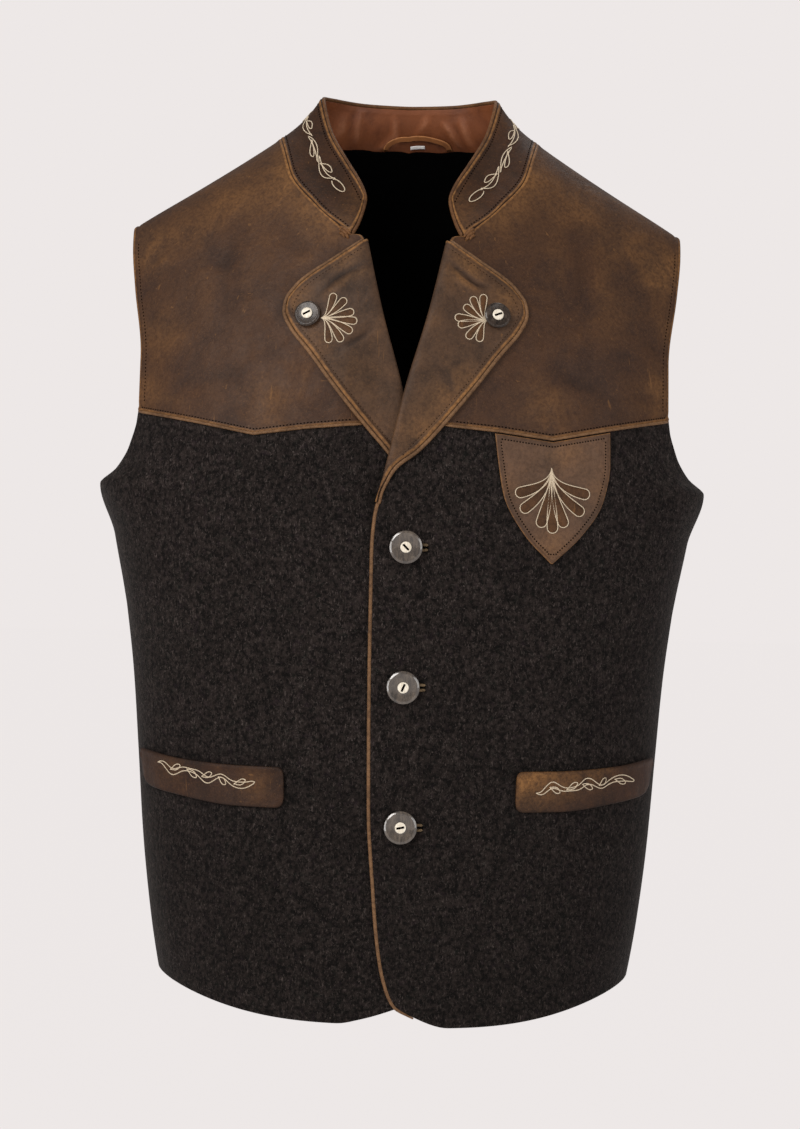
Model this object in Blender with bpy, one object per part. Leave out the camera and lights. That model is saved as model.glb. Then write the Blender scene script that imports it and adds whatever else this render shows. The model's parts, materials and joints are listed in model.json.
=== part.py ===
"""Embroidered folk vest: wool body, leather shoulder yokes, stand collar and lapels, filled out as worn.

Metres. +Z is up and the front faces -Y. The origin is midway between the shoulders, level with the neck
seam on the shoulder line. The wearer's left side is +X, and its front lies on top.

The body is one rounded surface, read at a place x and a height z on its front (face -1) or back (face +1).
Each piece is a wall made from points of that surface, moved out along its normal by a lift.
"""

import math
from collections import namedtuple

import bmesh
import bpy
import numpy as np
from mathutils import Matrix, Vector

WOOL = 0.0020
LEATHER = 0.0014
LINING = 0.0010
SEAM_GAP = 0.0003
CORD_GAP = 0.0005  # a cord's flat facets need a little more room
TRIM_GAP = 0.0008  # and so does what lies in the collar's curve
LEFT, RIGHT = 1, -1
FRONT, BACK = -1, 1

# The rounded body.
Ring = namedtuple("Ring", "height half_width front_depth back_depth")
BODY_RINGS = (
    Ring(-0.660, 0.1655, 0.115, 0.103),
    Ring(-0.622, 0.1744, 0.117, 0.104),
    Ring(-0.580, 0.1815, 0.117, 0.103),
    Ring(-0.520, 0.1885, 0.116, 0.098),
    Ring(-0.460, 0.1930, 0.115, 0.092),
    Ring(-0.400, 0.1978, 0.116, 0.090),
    Ring(-0.340, 0.2054, 0.118, 0.0940),
    Ring(-0.300, 0.2110, 0.119, 0.0985),
    Ring(-0.262, 0.2135, 0.119, 0.1030),
    Ring(-0.238, 0.2130, 0.118, 0.1058),
    Ring(-0.200, 0.2120, 0.116, 0.1097),
    Ring(-0.160, 0.2130, 0.113, 0.112),
    Ring(-0.070, 0.2190, 0.098, 0.100),
    Ring(0.060, 0.2230, 0.080, 0.086),
)
SQUARENESS = 2.3  # 2 is an ellipse, and more is squarer
Flare = namedtuple("Flare", "height width")
FLARE = (
    Flare(-0.350, 0.0),
    Flare(-0.300, 0.0028),
    Flare(-0.262, 0.0123),
    Flare(-0.251, 0.0041),
    Flare(-0.238, 0.0008),
    Flare(-0.200, 0.0),
)
FLARE_STARTS = 0.7  # the share of the half width where the sides begin to flare under the arms
Ridge = namedtuple("Ridge", "x height")
SHOULDER_LINE = (
    Ridge(-0.030, 0.0520),
    Ridge(0.0, 0.0620),
    Ridge(0.030, 0.0520),
    Ridge(0.060, 0.0265),
    Ridge(0.0953, -0.0010),
    Ridge(0.118, -0.0165),
    Ridge(0.155, -0.0400),
    Ridge(0.192, -0.0625),
    Ridge(0.230, -0.0870),
)
SHOULDER_REACH = 0.270  # how far below the shoulder line the body reaches its full depth
SHOULDER_ROUND = 2

# Seams and edges of the panels.
Edge = namedtuple("Edge", "height past_centre")
FRONT_EDGE = (
    Edge(-0.648, -0.0120),
    Edge(-0.634, -0.0004),
    Edge(-0.6275, 0.0040),
    Edge(-0.617, 0.0078),
    Edge(-0.604, 0.0111),
    Edge(-0.578, 0.0148),
    Edge(-0.549, 0.0174),
    Edge(-0.494, 0.0215),
    Edge(-0.370, 0.0230),
    Edge(-0.309, 0.0230),
    Edge(-0.286, 0.0215),
    Edge(-0.256, 0.0140),
    Edge(-0.194, 0.0),
    Edge(-0.138, -0.0157),
    Edge(-0.083, -0.0280),
)
Armhole = namedtuple("Armhole", "height front_x back_x")
ARMHOLE = (
    Armhole(-0.2606, 0.2258, 0.2258),
    Armhole(-0.2590, 0.2233, 0.2230),
    Armhole(-0.2560, 0.2187, 0.2179),
    Armhole(-0.2520, 0.2130, 0.2116),
    Armhole(-0.2440, 0.2065, 0.2042),
    Armhole(-0.2337, 0.2010, 0.1980),
    Armhole(-0.2095, 0.1946, 0.1918),
    Armhole(-0.1680, 0.1943, 0.1921),
    Armhole(-0.1165, 0.2009, 0.2003),
    Armhole(-0.0870, 0.2040, 0.2034),
    Armhole(-0.0707, 0.2045, 0.2045),
)
UNDERARM = ARMHOLE[0].height
ARMHOLE_TURN = ARMHOLE[6].height  # where it begins to turn under the arm
UNDERARM_ROWS = (-0.2592, -0.2560, -0.2500, -0.2390, -0.2250)  # the back's rows round that turn
SHOULDER_TIP_X = ARMHOLE[-1].front_x
SeamPoint = namedtuple("SeamPoint", "x height")
YOKE_SEAM = (
    SeamPoint(-0.0100, -0.2160),
    SeamPoint(0.0306, -0.2185),
    SeamPoint(0.0700, -0.2220),
    SeamPoint(0.1067, -0.2267),
    SeamPoint(0.1500, -0.2180),
    SeamPoint(0.1950, -0.2095),
)
YOKE_POINT_X = YOKE_SEAM[3].x
HEM_FRONT = {LEFT: -0.6475, RIGHT: -0.6455}
HEM_BACK = -0.632
HEM_SIDE = -0.620
HEM_CORNER_WIDTH = 0.0295
HEM_CORNER_RISE = {LEFT: 0.0145, RIGHT: 0.0105}
UNDER_REACH = 0.006  # how much further the under front reaches, at the foot of its edge
UNDER_REACH_SHARE = 0.1
UNDER_REACH_STARTS, UNDER_REACH_HEIGHT = -0.600, 0.030
PIPING_START = 0.004  # below the lapel's foot
PIPED_HEM = 0.045  # the share of the front hem that the front piping runs along
SHOULDER_SEAM = -0.066  # the root of the seam behind the shoulder line
SHOULDER_SEAM_GAP, NECK_SEAM_GAP = 0.0022, 0.0008  # SEAM_GAP there, in the same roots
GORGE = SeamPoint(0.0300, -0.0830)

# The stand collar: a station of 0 is the centre back and 1 the front end. A root is 0 on the shoulder
# line and positive in front of it, and its square is the share of SHOULDER_REACH below the line.
Stand = namedtuple("Stand", "station seam_x seam_root top_x top_y top_z")
COLLAR = (
    Stand(0.00, 0.0000, -0.479, 0.0000, 0.0445, 0.0305),
    Stand(0.09, 0.0232, -0.451, 0.0180, 0.0422, 0.0307),
    Stand(0.18, 0.0450, -0.385, 0.0350, 0.0385, 0.0310),
    Stand(0.25, 0.0611, -0.307, 0.0467, 0.0318, 0.0315),
    Stand(0.32, 0.0750, -0.233, 0.0560, 0.0220, 0.0318),
    Stand(0.40, 0.0890, -0.127, 0.0630, 0.0094, 0.0312),
    Stand(0.47, 0.0953, 0.0, 0.0662, -0.0020, 0.0300),
    Stand(0.68, 0.0865, 0.361, 0.0590, -0.0270, 0.0020),
    Stand(0.85, 0.0668, 0.536, 0.0450, -0.0470, -0.0240),
    Stand(1.00, 0.0407, 0.678, 0.0320, -0.0590, -0.0450),
)
COLLAR_HOLLOW = 0.0022
COLLAR_END_BOW = 0.0026
COLLAR_END_BELLY = 0.75  # the half waves of its bow, so that the widest place is high up
COLLAR_END_LENGTH = 0.15
COLLAR_FOOT = 0.01  # the share of its height that it stands clear of the seam
COLLAR_CORNER = 0.15  # how much lower the top edge is at the front ends
COLLAR_PIPING_RADIUS = 0.0013

# The wearer's right front is tucked in where the left one laps over it.
Tuck = namedtuple("Tuck", "height depth")
TUCK = (
    Tuck(-0.660, 0.0029),
    Tuck(-0.310, 0.0029),
    Tuck(-0.262, 0.0070),
    Tuck(-0.195, 0.0070),
    Tuck(-0.135, 0.0000),
    Tuck(0.060, 0.0000),
)
TUCK_FULL_AT = 0.018
TUCK_STARTS_AT = 0.044
LAP_SHARE, TUCK_SHARE = 0.09, 0.30  # the columns of a front near those two places
SIDE_STOPS = (0.955, 1, 0.984, 1, 0.996, 1, 1)  # columns drawn together where the body turns to its side

# Piping is a round cord. The panels stop short of their finished edge to leave it room.
PIPING_RADIUS = 0.0014
YOKE_PIPING_RADIUS = 0.0011
YOKE_PIPING_START = 0.0375  # just clear of the lapel
EDGE_ROOM = 2 * PIPING_RADIUS + SEAM_GAP
LAPEL_FOOT = -0.2540

# The lapels, as outlines on the wearer's left.
LAPEL_TOP_EDGE = (
    SeamPoint(0.0280, -0.0850),
    SeamPoint(0.0488, -0.0992),
    SeamPoint(0.0742, -0.1168),
    SeamPoint(0.0840, -0.1285),
)
LAPEL_OUTER_EDGE = (
    SeamPoint(0.0840, -0.1285),
    SeamPoint(0.0855, -0.1380),
    SeamPoint(0.0810, -0.1490),
    SeamPoint(0.0666, -0.1672),
    SeamPoint(0.0502, -0.1892),
    SeamPoint(0.0329, -0.2107),
    SeamPoint(0.0103, -0.2362),
    SeamPoint(-0.0050, -0.2540),
)
LAPEL_THICKNESS = 0.0020
LAPEL_EDGE_HEIGHT = 0.0031
LAPEL_PUFF = 0.0022
LAPEL_PIPING_HEIGHT = 0.0023
LAPEL_BUTTON_HEIGHT = 0.0040
# Across the roll: where the upper and under faces run, in metres from the roll line, and how high they
# lie, as shares of the lapel's height above the body.
Roll = namedtuple("Roll", "upper_in upper_height under_in under_height")
LAPEL_ROLL = (
    Roll(0.0012, -0.30, 0.0026, -0.30),
    Roll(0.0000, 0.25, 0.0027, 0.10),
    Roll(0.0009, 0.75, 0.0032, 0.22),
    Roll(0.0040, 1.00, 0.0044, 0.34),
)

# The shield patch and the pocket welts, as outlines on the wearer's left.
PATCH_LEFT_EDGE = (
    SeamPoint(0.0652, -0.2240),
    SeamPoint(0.0680, -0.2440),
    SeamPoint(0.0725, -0.2680),
    SeamPoint(0.0880, -0.2955),
    SeamPoint(0.1075, -0.3155),
)
PATCH_RIGHT_EDGE = (
    SeamPoint(0.1485, -0.2210),
    SeamPoint(0.1487, -0.2440),
    SeamPoint(0.1435, -0.2715),
    SeamPoint(0.1290, -0.2945),
    SeamPoint(0.1075, -0.3155),
)
PATCH_BELOW_SEAM = 0.0020
PATCH_THICKNESS = 0.0012
WELT_TOP_EDGE = (
    SeamPoint(0.0825, -0.4720),
    SeamPoint(0.0828, -0.4680),
    SeamPoint(0.0842, -0.4652),
    SeamPoint(0.0872, -0.4640),
    SeamPoint(0.1140, -0.4637),
    SeamPoint(0.1580, -0.4607),
    SeamPoint(0.1848, -0.4560),
    SeamPoint(0.1856, -0.4600),
)
WELT_BOTTOM_EDGE = (
    SeamPoint(0.0825, -0.4850),
    SeamPoint(0.0829, -0.4893),
    SeamPoint(0.0845, -0.4920),
    SeamPoint(0.0880, -0.4934),
    SeamPoint(0.1180, -0.4930),
    SeamPoint(0.1560, -0.4880),
    SeamPoint(0.1765, -0.4842),
    SeamPoint(0.1815, -0.4815),
    SeamPoint(0.1842, -0.4765),
)
WELT_INNER_END = {LEFT: 0.0025, RIGHT: -0.0030}  # how far out of place each inner end is
WELT_THICKNESS = 0.0016
WELT_GAPE = 0.0016

# Buttons, their inlaid discs and the corded buttonholes.
ButtonPlace = namedtuple("ButtonPlace", "height slot_tilt")  # tilts in degrees
FRONT_BUTTONS = (
    ButtonPlace(-0.3056, -45),
    ButtonPlace(-0.4052, 67),
    ButtonPlace(-0.5048, 12),
)
FRONT_BUTTON_X = 0.0036
FRONT_BUTTON_RADIUS = 0.0118
LAPEL_BUTTON = {LEFT: SeamPoint(0.0646, -0.1402), RIGHT: SeamPoint(0.0689, -0.1416)}
LAPEL_BUTTON_RADIUS = 0.0095
LAPEL_SLOT_TILT = {LEFT: 20, RIGHT: 28}
DISC_RADIUS = 0.0040
SLOT_LENGTH, SLOT_WIDTH, SLOT_DEPTH = 0.0050, 0.0012, 0.0009
HOLE_HALF_LENGTH = 0.0125
HOLE_HALF_WIDTH = 0.0016
HOLE_CORD_RADIUS = 0.0010
HOLE_CENTRE_X = FRONT_BUTTON_X + 0.0055

# The hanger loop and the label at the back neck.
LOOP_CENTRE = 0.028  # stations from the centre back, towards the wearer's left
LOOP_HALF_SPAN = 0.100
LOOP_FOOT, LOOP_RISE = 0.03, 0.34  # shares of the collar's height
LOOP_WIDTH = 0.0042
LOOP_THICKNESS = 0.0010
LABEL_HALF_SPAN = 0.0235
LABEL_TOP = 0.13
LABEL_THICKNESS = 0.0004


def smooth(rows, key, value, at):
    """One column of a table, read between its rows along a smooth curve that never overshoots them."""
    keys = np.array([getattr(row, key) for row in rows])
    values = np.array([getattr(row, value) for row in rows])
    if keys[0] > keys[-1]:
        keys, values = keys[::-1], values[::-1]
    rises = np.diff(values) / np.diff(keys)
    before, after = rises[:-1], rises[1:]
    turning = before * after <= 0
    mean = 2 * before * after / np.where(turning, 1, before + after)
    slopes = np.concatenate([rises[:1], np.where(turning, 0, mean), rises[-1:]])
    at = np.clip(at, keys[0], keys[-1])
    low = np.clip(np.searchsorted(keys, at) - 1, 0, len(keys) - 2)
    span = keys[low + 1] - keys[low]
    t = (at - keys[low]) / span
    start = (1 + 2 * t) * (1 - t) ** 2 * values[low] + t * (1 - t) ** 2 * span * slopes[low]
    end = t**2 * (3 - 2 * t) * values[low + 1] + t**2 * (t - 1) * span * slopes[low + 1]
    return start + end


def straight(rows, key, value, at):
    """One column of a table, read between its rows along straight lines."""
    keys = np.array([getattr(row, key) for row in rows])
    values = np.array([getattr(row, value) for row in rows])
    return np.interp(at, keys, values)


def ease(share):
    """A soft step from 0 to 1."""
    share = np.clip(share, 0, 1)
    return share * share * (3 - 2 * share)


def shoulder_line(x):
    return smooth(SHOULDER_LINE, "x", "height", np.abs(x))


def below_shoulder(x, root):
    """The height at a root, where root squared is the share of SHOULDER_REACH below the shoulder line."""
    return shoulder_line(x) - SHOULDER_REACH * root**2


def root_of(x, z):
    return np.sqrt(np.maximum(shoulder_line(x) - z, 0) / SHOULDER_REACH)


def core_width(z):
    return smooth(BODY_RINGS, "height", "half_width", z)


def flare(z):
    return smooth(FLARE, "height", "width", z)


def half_width(z):
    return core_width(z) + flare(z)


def near_side(share):
    """How far a place takes part in the flare: 0 up to FLARE_STARTS and 1 at the side."""
    return ease((np.abs(share) - FLARE_STARTS) / (1 - FLARE_STARTS))


def body_depth(z, face):
    front = smooth(BODY_RINGS, "height", "front_depth", z)
    back = smooth(BODY_RINGS, "height", "back_depth", z)
    return np.where(face < 0, front, back)


def fullness(x, z):
    """How near a place is to the body's full depth: 0 on the side and shoulder lines, 1 at the centre."""
    core = core_width(z)
    wide = core + flare(z) * near_side(x / core)
    across = 1 - np.clip(np.abs(x) / wide, 0, 1) ** SQUARENESS
    below = np.clip((shoulder_line(x) - z) / SHOULDER_REACH, 0, 1)
    return across * (1 - (1 - below) ** SHOULDER_ROUND)


def body(x, z, face):
    """Points and outward normals of the rounded body, kept half a seam gap off the side line."""
    x, z, face = np.broadcast_arrays(np.asarray(x, float), z, face)
    depth = body_depth(z, face)
    out = depth * fullness(x, z) ** (1 / SQUARENESS)
    on_side = (np.abs(x) > half_width(z) - SEAM_GAP) & (out < SEAM_GAP / 2)
    y = face * np.where(on_side, SEAM_GAP / 2, out)
    step = 1e-5

    def outside(dx, dz):
        """Below 0 inside the body and above 0 outside it."""
        depth_here = body_depth(z + dz, face)
        return (out / depth_here) ** SQUARENESS - fullness(x + dx, z + dz)

    slope_x = (outside(step, 0) - outside(-step, 0)) / (2 * step)
    slope_z = (outside(0, step) - outside(0, -step)) / (2 * step)
    slope_y = face * SQUARENESS * out ** (SQUARENESS - 1) / depth**SQUARENESS
    normals = np.stack([slope_x, slope_y, slope_z], axis=-1)
    return np.stack([x, y, z], axis=-1), unit(normals)


def tuck(side, m, z):
    """How far the under front is pressed in. m is the distance out from the centre, to its own side."""
    if side == LEFT:
        return np.zeros(np.broadcast(m, z).shape)
    share = ease((TUCK_STARTS_AT - m) / (TUCK_STARTS_AT - TUCK_FULL_AT))
    return share * smooth(TUCK, "height", "depth", z)


def on_front(side, m, z, lift):
    """Points lifted off the wearer's left or right front. m is the distance out from the centre."""
    points, normals = body(side * np.asarray(m, float), z, FRONT)
    height = np.asarray(lift) - tuck(side, m, z)
    return points + normals * height[..., None]


def front_edge(z):
    """The finished front edge or roll line, as a distance out from the centre: negative past it."""
    return -smooth(FRONT_EDGE, "height", "past_centre", z)


def armhole_x(z, face):
    return smooth(ARMHOLE, "height", "front_x" if face == FRONT else "back_x", z)


def yoke_seam(x):
    return straight(YOKE_SEAM, "x", "height", x)


def stretch(*stops):
    """Even steps between stops: stretch(0, 4, 0.5, 2, 1) has 4 steps to 0.5 and then 2 to 1."""
    values = [stops[0]]
    for count, end in zip(stops[1::2], stops[2::2]):
        values += list(np.linspace(values[-1], end, count + 1)[1:])
    return np.array(values)


def unit(vectors):
    return vectors / np.linalg.norm(vectors, axis=-1, keepdims=True)


def beside(places, distance):
    """A line of places moved to its own left."""
    run = unit(np.gradient(places, axis=0))
    return places + np.stack([-run[:, 1], run[:, 0]], axis=-1) * distance


def material(name, colour, roughness, metallic=0.0):
    made = bpy.data.materials.new(name)
    made.use_nodes = True
    shader = made.node_tree.nodes["Principled BSDF"]
    shader.inputs["Base Color"].default_value = (*colour, 1)
    shader.inputs["Roughness"].default_value = roughness
    shader.inputs["Metallic"].default_value = metallic
    made.diffuse_color = (*colour, 1)
    return made


def finish(name, mesh, surface):
    mesh.materials.append(surface)
    mesh.shade_smooth()
    mesh.set_sharp_from_angle(angle=math.radians(50))
    thing = bpy.data.objects.new(name, mesh)
    bpy.context.scene.collection.objects.link(thing)
    return thing


def wall(name, upper, under, surface):
    """A closed wall between two grids of points that have the same rows and columns."""
    rows, columns = upper.shape[:2]
    shape = bmesh.new()
    top = [[shape.verts.new(p) for p in line] for line in upper]
    low = [[shape.verts.new(p) for p in line] for line in under]
    for r in range(rows - 1):
        for c in range(columns - 1):
            shape.faces.new((top[r][c], top[r][c + 1], top[r + 1][c + 1]))
            shape.faces.new((top[r][c], top[r + 1][c + 1], top[r + 1][c]))
            shape.faces.new((low[r + 1][c + 1], low[r][c + 1], low[r][c]))
            shape.faces.new((low[r + 1][c], low[r + 1][c + 1], low[r][c]))
    rim = [(0, c) for c in range(columns)] + [(r, columns - 1) for r in range(1, rows)]
    rim += [(rows - 1, c) for c in range(columns - 2, -1, -1)] + [(r, 0) for r in range(rows - 2, 0, -1)]
    for (r0, c0), (r1, c1) in zip(rim, rim[1:] + rim[:1]):
        shape.faces.new((top[r1][c1], top[r0][c0], low[r0][c0], low[r1][c1]))
    bmesh.ops.remove_doubles(shape, verts=shape.verts, dist=1e-6)
    bmesh.ops.recalc_face_normals(shape, faces=shape.faces)
    mesh = bpy.data.meshes.new(name)
    shape.to_mesh(mesh)
    shape.free()
    return finish(name, mesh, surface)


def cord(name, path, radius, surface, closed=False):
    """A round cord along a path."""
    curve = bpy.data.curves.new(name, "CURVE")
    curve.dimensions = "3D"
    curve.bevel_depth = radius
    curve.bevel_resolution = 1
    curve.use_fill_caps = not closed
    spline = curve.splines.new("POLY")
    spline.points.add(len(path) - 1)
    spline.use_cyclic_u = closed
    for point, place in zip(spline.points, path):
        point.co = (*place, 1)
    curve.materials.append(surface)
    thing = bpy.data.objects.new(name, curve)
    bpy.context.scene.collection.objects.link(thing)
    return thing


def turned(name, profile, segments, surface):
    """A solid turned about its own Z axis from a profile of radii and heights, back to front."""
    shape = bmesh.new()
    angles = [2 * math.pi * i / segments for i in range(segments)]
    rings = []
    for radius, height in profile[1:-1]:
        rings.append([shape.verts.new((radius * math.cos(a), radius * math.sin(a), height)) for a in angles])
    back = shape.verts.new((0, 0, profile[0][1]))
    front = shape.verts.new((0, 0, profile[-1][1]))
    for i in range(segments):
        j = (i + 1) % segments
        shape.faces.new((back, rings[0][j], rings[0][i]))
        shape.faces.new((front, rings[-1][i], rings[-1][j]))
        for low, high in zip(rings, rings[1:]):
            shape.faces.new((low[i], low[j], high[j], high[i]))
    mesh = bpy.data.meshes.new(name)
    shape.to_mesh(mesh)
    shape.free()
    return finish(name, mesh, surface)


def seat(thing, side, m, z, lift):
    """Stands an object on the front, its Z axis along the cloth's normal and its X axis level."""
    normal = Vector(body(side * m, z, FRONT)[1])
    level = Vector((0, 0, 1)).cross(normal).normalized()
    up = normal.cross(level)
    turn = Matrix((level, up, normal)).transposed()
    thing.matrix_world = Matrix.Translation(on_front(side, m, z, lift)) @ turn.to_4x4()


def coons(start, end, first, last, across, along):
    """A patch between four edges. Start and end run along; first and last run across."""
    across, along = np.asarray(across), np.asarray(along)
    ends = np.array([0.0, 1.0])
    (near_start, far_start), (near_end, far_end) = start(ends), end(ends)
    s, t = across[None, :, None], along[:, None, None]
    corners = (1 - s) * (1 - t) * near_start + s * (1 - t) * near_end
    corners = corners + (1 - s) * t * far_start + s * t * far_end
    lengthwise = (1 - s) * start(along)[:, None] + s * end(along)[:, None]
    return lengthwise + (1 - t) * first(across)[None] + t * last(across)[None] - corners


SeamStop = namedtuple("SeamStop", "share x height")


def outline(rows):
    """A table of points as a smooth line, read by the share of its length."""
    places = np.array(rows)
    lengths = np.concatenate([[0], np.cumsum(np.linalg.norm(np.diff(places, axis=0), axis=1))])
    stops = [SeamStop(share, *place) for share, place in zip(lengths / lengths[-1], places)]

    def read(at):
        return np.stack([smooth(stops, "share", "x", at), smooth(stops, "share", "height", at)], axis=-1)

    return read


def front_panel(side, surface):
    """The wool front below the yoke, from its hem up to the yoke seam and the armhole."""
    holes = np.linspace(ARMHOLE_TURN, UNDERARM, 60)
    fine = np.linspace(0, 1, 500)
    hole_share = [np.interp(armhole_x(hole, FRONT), across_front(fine, hole), fine) for hole in holes]
    seam_edge = front_edge(YOKE_SEAM[1].height) + EDGE_ROOM
    point_share = (YOKE_POINT_X - seam_edge) / (core_width(YOKE_SEAM[3].height) - seam_edge)
    share = stretch(0, 1, LAP_SHARE, 4, TUCK_SHARE, 3, point_share, 4, hole_share[0], 2, *SIDE_STOPS)
    top = np.full(share.shape, YOKE_SEAM[3].height)
    for _ in range(6):
        x = across_front(share, top)
        top = np.where(share > hole_share[0] - 1e-9, np.interp(share, hole_share, holes), yoke_seam(x))
    hem = hem_height(side, share)
    rise = stretch(0, 2, 0.06, 13, 0.88, 4, 1)[:, None]
    z = hem + (top - SEAM_GAP / 2 - hem) * rise
    m = across_front(share, z) - under_reach(side, share, z)
    name = "front_left" if side == LEFT else "front_right"
    wall(name, on_front(side, m, z, 0), on_front(side, m, z, -WOOL), surface)


def hem_height(side, share):
    corner = np.clip(1 - share * half_width(HEM_SIDE) / HEM_CORNER_WIDTH, 0, 1) ** 2
    lowest = HEM_FRONT[side]
    return lowest + (HEM_SIDE - lowest) * share**3 + HEM_CORNER_RISE[side] * corner


def under_reach(side, share, z):
    """How much further the under front reaches beneath the lapping one."""
    if side == LEFT:
        return np.zeros(np.broadcast(share, z).shape)
    return (UNDER_REACH * ease((UNDER_REACH_STARTS - z) / UNDER_REACH_HEIGHT)
            * np.clip(1 - share / UNDER_REACH_SHARE, 0, 1))


def across_front(share, z):
    """A place on the front, as a share of the way from its front edge to the side seam."""
    edge = front_edge(z) + EDGE_ROOM
    return edge + (core_width(z) - edge) * share + flare(z) * near_side(share)


def neck_seam(station):
    """The neck seam, as a place across and a root below the shoulder line."""
    return smooth(COLLAR, "station", "seam_x", station), smooth(COLLAR, "station", "seam_root", station)


def collar_stations():
    """Stations shared by the collar, the yokes and the back, so that they meet point to point."""
    return stretch(0, 6, station_at(SHOULDER_SEAM), 1, station_at(0.0), 7, 1)


def station_at(root):
    """The collar station where the neck seam has this root."""
    stations = np.linspace(0, 1, 400)
    return np.interp(root, neck_seam(stations)[1], stations)


def yoke(side, surface):
    """The leather yoke, from its seam up over the shoulder line to the shoulder seam behind it."""
    seam_start = front_edge(YOKE_SEAM[1].height) + EDGE_ROOM
    roll = np.linspace(float(yoke_seam(seam_start)) + SEAM_GAP / 2, GORGE.height, 7)
    roll_x = front_edge(roll) + EDGE_ROOM
    neck_x, neck_root = neck_seam(collar_stations()[:5:-1])
    inner_x = np.concatenate([roll_x, neck_x + SEAM_GAP / 2])
    inner_root = np.concatenate([root_of(roll_x, roll), neck_root])
    rows = len(inner_x)
    first = root_of(YOKE_SEAM[-1].x, YOKE_SEAM[-1].height + SEAM_GAP / 2)
    outer_root = np.append(np.linspace(float(first), 0, rows - 1), SHOULDER_SEAM)
    outer_x = np.full(rows, SHOULDER_TIP_X)
    for _ in range(6):
        outer_x = armhole_x(below_shoulder(outer_x, outer_root), FRONT)
    share = stretch(0, 5, 0.45, 3, 0.82, 3, 1)
    x = inner_x[:, None] + (outer_x - inner_x)[:, None] * share
    root = inner_root[:, None] + (outer_root - inner_root)[:, None] * share
    x[0] = stretch(inner_x[0], 5, YOKE_POINT_X, 6, outer_x[0])
    root[0] = root_of(x[0], yoke_seam(x[0]) + SEAM_GAP / 2)
    root[1] = (root[0] + root[2]) / 2
    x[1] = (x[0] + x[2]) / 2
    z = below_shoulder(x, root)
    face = np.where(root < 0, BACK, FRONT)
    points, normals = body(side * x, z, face)
    press = tuck(side, x, z)[..., None]
    name = "yoke_left" if side == LEFT else "yoke_right"
    wall(name, points - normals * press, points - normals * (press + LEATHER), surface)


def back_grid(low_rows, high_rows):
    """Places on the back, from its hem to the armholes, the shoulder seams and the neck."""
    neck_x, neck_root = neck_seam(collar_stations()[:7])
    neck = neck_x / SHOULDER_TIP_X
    half = np.append(neck, stretch(neck[-1], 4, 0.88, 2, *SIDE_STOPS)[1:])
    share = np.concatenate([-half[:0:-1], half])
    size = np.abs(share)
    hem = HEM_BACK + (HEM_SIDE - HEM_BACK) * size**3
    low_z = hem + (UNDERARM - hem) * np.linspace(0, 1, low_rows + 1)[:-1, None]
    low_x = core_width(low_z) * share + flare(low_z) * near_side(share) * np.sign(share)

    gap_root = SHOULDER_SEAM - SHOULDER_SEAM_GAP
    top_root = np.interp(size, neck, neck_root - NECK_SEAM_GAP, right=gap_root)
    top_root = np.minimum(top_root, gap_root)
    rise = stretch(0, 6, 0.17, high_rows - 6, 1)[:, None]
    tip = below_shoulder(SHOULDER_TIP_X, gap_root)
    side_z = np.append((UNDERARM, *UNDERARM_ROWS), np.linspace(ARMHOLE_TURN, tip, high_rows - 5))[:, None]
    side_x = np.minimum(armhole_x(side_z, BACK), half_width(side_z))
    side_x[-1] = SHOULDER_TIP_X
    core = np.minimum(side_x, core_width(side_z))
    high_x = core * share + (side_x - core) * near_side(share) * np.sign(share)
    root = root_of(high_x[0], UNDERARM) * (1 - rise) - top_root * rise
    root = root + (root_of(side_x, side_z) - root[:, -1:]) * size**4
    high_z = below_shoulder(high_x, root)
    return np.concatenate([low_x, high_x]), np.concatenate([low_z, high_z])


def back_panels(wool, lining):
    points, normals = body(*back_grid(7, 14), BACK)
    wall("back", points, points - normals * WOOL, wool)
    lift = WOOL + SEAM_GAP
    wall("back_lining", points - normals * lift, points - normals * (lift + LINING), lining)


def collar_grid(stations, rises, lift):
    """Points of the stand collar. A rise of 0 is the neck seam and 1 the top edge."""
    at = np.abs(stations)
    side = np.where(stations < 0, -1, 1)
    seam_x, seam_root = neck_seam(at)
    face = np.where(seam_root < 0, BACK, FRONT)
    seam, _ = body(side * seam_x, below_shoulder(seam_x, seam_root), face)
    top = np.stack([side * smooth(COLLAR, "station", "top_x", at),
                    smooth(COLLAR, "station", "top_y", at),
                    smooth(COLLAR, "station", "top_z", at)], axis=-1)
    rise = np.asarray(rises)[:, None, None]
    bow = np.sin(math.pi * rise[..., 0])
    end = np.clip((at - 1 + COLLAR_END_LENGTH) / COLLAR_END_LENGTH, 0, 1)
    points = seam + (top - seam) * rise * (1 - COLLAR_CORNER * end**3)[:, None]
    belly = np.sin(COLLAR_END_BELLY * math.pi * rise[..., 0])
    points[..., 0] -= side * COLLAR_END_BOW * belly * end**2 * (3 - 2 * end)
    out = np.cross(np.gradient(points, axis=0), np.gradient(points, axis=1))
    return points + unit(out) * (lift - COLLAR_HOLLOW * bow)[..., None]


def collar_spot(station, rise, lift):
    """One point of the stand collar."""
    near = 0.01
    return collar_grid(station + np.array([-near, 0, near]), [rise, rise + near], lift)[0, 1]


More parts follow.
